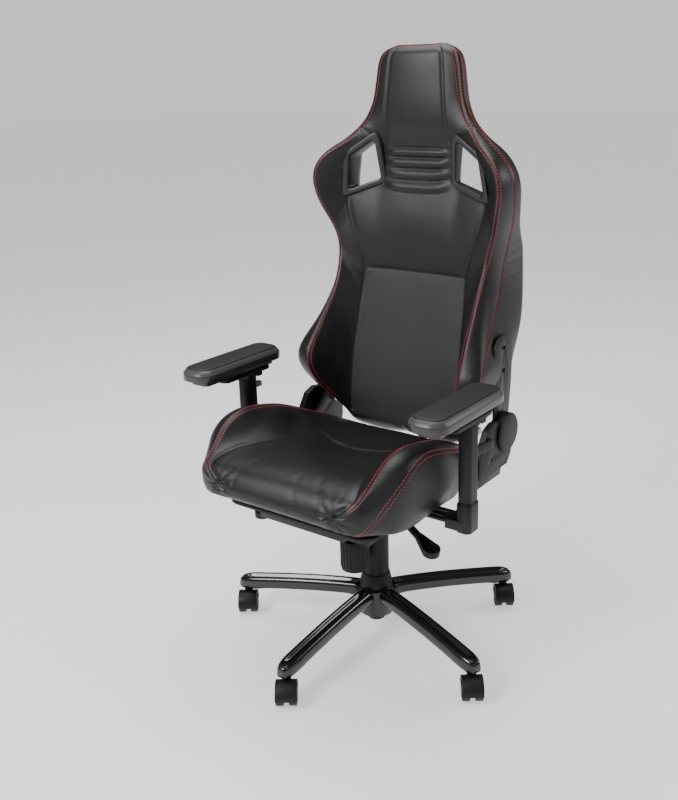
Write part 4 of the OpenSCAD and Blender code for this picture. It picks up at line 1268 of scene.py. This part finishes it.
class CHAIR_OT_hard_parts(bpy.types.Operator):
    """Metal and plastic pieces with broken edges and their finishes"""

    bl_idname = "chair.hard_parts"
    bl_label = "Hard parts"

    def execute(self, context):
        body_of_node = {n: b for b, ns in frame["record"]["behaviour"]["bodies"].items()
                        for n in ns}
        slot_of_node = {s["node"]: s["material_slot"] for s in frame["record"]["subparts"]}
        broken = dict(SINGLE_EDGES)
        for name, _ in SIDES:
            broken.update({f"{part}_{name}": width for part, width in PAIR_EDGES.items()})
        for k in CASTERS:
            broken.update({f"caster_hood_{k}": 0.0010, f"caster_wheels_{k}": 0.0012})
        made_elsewhere = {"star_base", "seat_cushion", "back_cushion"}
        made_elsewhere |= {f"{part}_{name}" for part in ("back_bezel", "arm_pad", "arm_rim")
                           for name, _ in SIDES}
        for node, obj in frame["nodes"].items():
            if node in made_elsewhere:
                continue
            finish = FINISH_OF_SLOT[slot_of_node[node]]
            if node in broken:
                refine(node, body_of_node[node], finish, slot_of_node[node], broken[node])
            else:
                paint(obj, FINISH[finish])
        return {"FINISHED"}


ARM_ROOT, ARM_REACH, ARM_HALF = 0.034, 0.350, 0.0205
HUB_TOP, TIP_TOP, ARM_DEEP = 0.118, 0.0905, 0.031
SPINDLE_BORE, HUB_RADIUS = 0.0252, 0.042
# Distances from the axis where an arm is divided, and its lines across
ARM_STATIONS = (0.050, 0.062, 0.09, 0.13, 0.17, 0.21, 0.25, 0.285, 0.305, 0.322, 0.336, 0.345)
ARM_LINES = (-0.0150, -0.0085, -0.0040, 0.0040, 0.0085, 0.0150)
# Line, how far it lies below the ridges, and whether it runs over the whole arm
ARM_DROPS = ((0.0205, 0.0095, True), (0.0150, 0.0015, True), (0.0040, 0.0110, False))
# Distance from the axis, and the tip's share of the arm's width or its fall there
TIP_WIDTHS = ((0.322, 0.98), (0.336, 0.86), (0.345, 0.66), (ARM_REACH, 0.42))
TIP_FALLS = ((0.336, 0.002), (0.345, 0.006), (ARM_REACH, 0.011))


def arm_crest(r):
    """Height of an arm's ridges at a distance from the hub's axis."""
    return TIP_TOP + (HUB_TOP - TIP_TOP) * math.cos(math.pi / 2 * min(r / 0.33, 1))


class CHAIR_OT_star_base(bpy.types.Operator):
    """Cast star base: five arms with two rounded ridges each, on a ring-shaped hub"""

    bl_idname = "chair.star_base"
    bl_label = "Star base"

    def execute(self, context):
        arm = self.arm()
        pieces = [arm, self.hub()]
        for k in range(1, 5):
            pick_only(arm)
            bpy.ops.object.duplicate()
            other = bpy.context.active_object
            other.rotation_euler.z = math.tau * k / 5
            settle(other)
            pieces.append(other)
        pick_only(arm)
        for piece in pieces:
            piece.select_set(True)
        bpy.ops.object.join()
        arm.name = arm.data.name = "star_base_casting"
        smooth(arm, 50)
        paint(arm, FINISH["gloss"])
        place(arm, "base", "gloss_base", "star_base")
        return {"FINISHED"}

    def arm(self):
        bpy.ops.mesh.primitive_cube_add(size=1)
        obj = bpy.context.active_object
        obj.name = "star_base_arm"
        length = ARM_REACH - ARM_ROOT
        obj.location = (0, -(ARM_ROOT + length / 2), 0)
        obj.scale = (2 * ARM_HALF, length, 0.02)
        settle(obj)
        edit(obj)
        for r in ARM_STATIONS:
            bpy.ops.mesh.select_all(action="SELECT")
            bpy.ops.mesh.bisect(plane_co=(0, -r, 0), plane_no=(0, 1, 0))
        for x in ARM_LINES:
            bpy.ops.mesh.select_all(action="SELECT")
            bpy.ops.mesh.bisect(plane_co=(x, 0, 0), plane_no=(1, 0, 0))
        for r in (ARM_ROOT, *ARM_STATIONS, ARM_REACH):
            for top in (True, False):
                select_parts(obj, "verts", lambda v: abs(v.co.y + r) < 1e-4
                             and (0.008 < v.co.z < 0.012 if top else -0.012 < v.co.z < -0.008))
                height = arm_crest(r) - (0 if top else ARM_DEEP) - (0.01 if top else -0.01)
                raise_selected(height)
        for x, fall, whole in ARM_DROPS:
            select_parts(obj, "verts", lambda v: abs(abs(v.co.x) - x) < 3e-4
                         and v.co.z > arm_crest(-v.co.y) - 0.003
                         and (whole or 0.06 < -v.co.y < 0.325))
            raise_selected(-fall)
        for r, narrow in TIP_WIDTHS:
            select_parts(obj, "verts", lambda v: abs(v.co.y + r) < 1e-4)
            bpy.ops.transform.resize(value=(narrow, 1, 1), center_override=(0, -r, 0))
        for r, fall in TIP_FALLS:
            select_parts(obj, "verts", lambda v: abs(v.co.y + r) < 1e-4
                         and v.co.z > arm_crest(r) - 0.016)
            raise_selected(-fall)
        select_parts(obj, "faces", lambda f: f.normal.z < -0.9
                     and 0.06 < -f.calc_center_median().y < 0.28)
        bpy.ops.mesh.inset(thickness=0.004)
        raise_selected(0.006)
        done()
        apply_modifier(obj, "SUBSURF", levels=2, render_levels=2)
        return obj

    def hub(self):
        bpy.ops.mesh.primitive_cylinder_add(vertices=72, radius=HUB_RADIUS, depth=0.062,
                                            location=(0, 0, 0.081))
        obj = bpy.context.active_object
        obj.name = "star_base_hub"
        settle(obj)
        edit(obj)
        for thickness, rise in ((0.006, 0.005), (0.004, 0.0025), (0.006, 0.0)):
            select_parts(obj, "faces", lambda f: f.normal.z > 0.9
                         and f.calc_center_median().xy.length < 0.01)
            bpy.ops.mesh.inset(thickness=thickness)
            raise_selected(rise)
        done()
        bpy.ops.mesh.primitive_cylinder_add(vertices=72, radius=SPINDLE_BORE, depth=0.3,
                                            location=(0, 0, 0.1))
        bore = bpy.context.active_object
        cut_away(obj, bore)
        break_edges(obj, 0.0015, 3, 28)
        return obj


# Stage

EYE_AZIMUTH = math.radians(35.61)
EYE_DISTANCE = 1.968
EYE_HEIGHT = 1.247
EYE_PITCH = math.radians(17.43)
EYE_ROLL = math.radians(1.21)
FOCAL = 943.4
CENTRE_X, CENTRE_Y = 371.8, 374.4
FRAME_W, FRAME_H = 678, 800
SENSOR = 36
# Name, place, place aimed at, size and power of each light
LIGHTS = (("key", (-0.9, -2.7, 2.5), (0, 0, 0.8), 1.3, 120),
          ("fill", (2.7, -1.4, 1.9), (0, 0, 0.7), 0.8, 9),
          ("top", (-0.4, 0.2, 3.4), (0, 0, 0.4), 2.4, 105),
          ("rim", (2.2, 2.0, 2.0), (0, 0, 0.8), 0.9, 26))
FLOOR_GLOW, WORLD_LIGHT, WORLD_SEEN = 0.72, 0.16, 0.84
WHITE = (1, 1, 1, 1)


class CHAIR_OT_stage(bpy.types.Operator):
    """Pale floor, soft studio lights and the camera"""

    bl_idname = "chair.stage"
    bl_label = "Stage"

    def execute(self, context):
        scene = context.scene
        floor_material = bpy.data.materials.new("studio_floor")
        floor_material.use_nodes = True
        shader = floor_material.node_tree.nodes["Principled BSDF"]
        shader.inputs["Base Color"].default_value = tuple(colours().floor)
        shader.inputs["Roughness"].default_value = 0.7
        shader.inputs["Emission Color"].default_value = WHITE
        shader.inputs["Emission Strength"].default_value = FLOOR_GLOW
        bpy.ops.mesh.primitive_plane_add(size=60, location=(0, 0, 0))
        floor = context.active_object
        floor.name = floor.data.name = "floor"
        paint(floor, floor_material)
        world = bpy.data.worlds.new("studio")
        scene.world = world
        world.use_nodes = True
        tree = world.node_tree
        light = tree.nodes["Background"]
        light.inputs["Color"].default_value = WHITE
        light.inputs["Strength"].default_value = WORLD_LIGHT
        seen = tree.nodes.new("ShaderNodeBackground")
        seen.inputs["Color"].default_value = WHITE
        seen.inputs["Strength"].default_value = WORLD_SEEN
        path, mix = tree.nodes.new("ShaderNodeLightPath"), tree.nodes.new("ShaderNodeMixShader")
        tree.links.new(path.outputs["Is Camera Ray"], mix.inputs[0])
        tree.links.new(light.outputs[0], mix.inputs[1])
        tree.links.new(seen.outputs[0], mix.inputs[2])
        tree.links.new(mix.outputs[0], tree.nodes["World Output"].inputs["Surface"])
        for settings in LIGHTS:
            self.light(*settings)
        self.camera(scene)
        return {"FINISHED"}

    def light(self, name, at, towards, size, power):
        data = bpy.data.lights.new(name, "AREA")
        data.energy = power
        data.size = size
        lamp = bpy.data.objects.new(name, data)
        lamp.location = at
        aim = Vector(towards) - Vector(at)
        lamp.rotation_euler = aim.to_track_quat("-Z", "Y").to_euler()
        bpy.context.scene.collection.objects.link(lamp)

    def camera(self, scene):
        eye = Vector((EYE_DISTANCE * math.sin(EYE_AZIMUTH), -EYE_DISTANCE * math.cos(EYE_AZIMUTH),
                      EYE_HEIGHT))
        level = Vector((-math.sin(EYE_AZIMUTH), math.cos(EYE_AZIMUTH), 0))
        up = Vector((0, 0, 1))
        ahead = level * math.cos(EYE_PITCH) - up * math.sin(EYE_PITCH)
        right = level.cross(up)
        upward = right.cross(ahead)
        x_axis = right * math.cos(EYE_ROLL) - upward * math.sin(EYE_ROLL)
        y_axis = right * math.sin(EYE_ROLL) + upward * math.cos(EYE_ROLL)
        data = bpy.data.cameras.new("camera")
        data.sensor_width = SENSOR
        data.lens = FOCAL * SENSOR / FRAME_H
        data.shift_x = (FRAME_W / 2 - CENTRE_X) / FRAME_H
        data.shift_y = (CENTRE_Y - FRAME_H / 2) / FRAME_H
        data.clip_start, data.clip_end = 0.05, 60
        camera = bpy.data.objects.new("camera", data)
        turn = Matrix((x_axis, y_axis, -ahead)).transposed().to_4x4()
        camera.matrix_world = Matrix.Translation(eye) @ turn
        scene.collection.objects.link(camera)
        scene.camera = camera


# Add-on


class CHAIR_PT_panel(bpy.types.Panel):
    """Lists the chair's build steps and settings"""

    bl_idname = "CHAIR_PT_panel"
    bl_label = "Racing-style chair"
    bl_space_type = "VIEW_3D"
    bl_region_type = "UI"
    bl_category = "Chair"

    def draw(self, context):
        for operator in OPERATORS:
            self.layout.operator(operator.bl_idname)
        for group in (context.scene.chair_sizes, context.scene.chair_colours):
            for name in group.__annotations__:
                self.layout.prop(group, name)


OPERATORS = (CHAIR_OT_finishes, CHAIR_OT_stage, CHAIR_OT_hard_parts, CHAIR_OT_star_base,
             CHAIR_OT_back, CHAIR_OT_bezels, CHAIR_OT_seat, CHAIR_OT_armrest_pads)
CLASSES = (ChairSizes, ChairColours, *OPERATORS, CHAIR_PT_panel)


def register():
    for cls in CLASSES:
        bpy.utils.register_class(cls)
    bpy.types.Scene.chair_sizes = bpy.props.PointerProperty(type=ChairSizes)
    bpy.types.Scene.chair_colours = bpy.props.PointerProperty(type=ChairColours)


def unregister():
    del bpy.types.Scene.chair_colours
    del bpy.types.Scene.chair_sizes
    for cls in reversed(CLASSES):
        bpy.utils.unregister_class(cls)


def main():
    register()
    for operator in OPERATORS:
        group, name = operator.bl_idname.split(".")
        getattr(getattr(bpy.ops, group), name)()


if __name__ == "__main__":
    main()
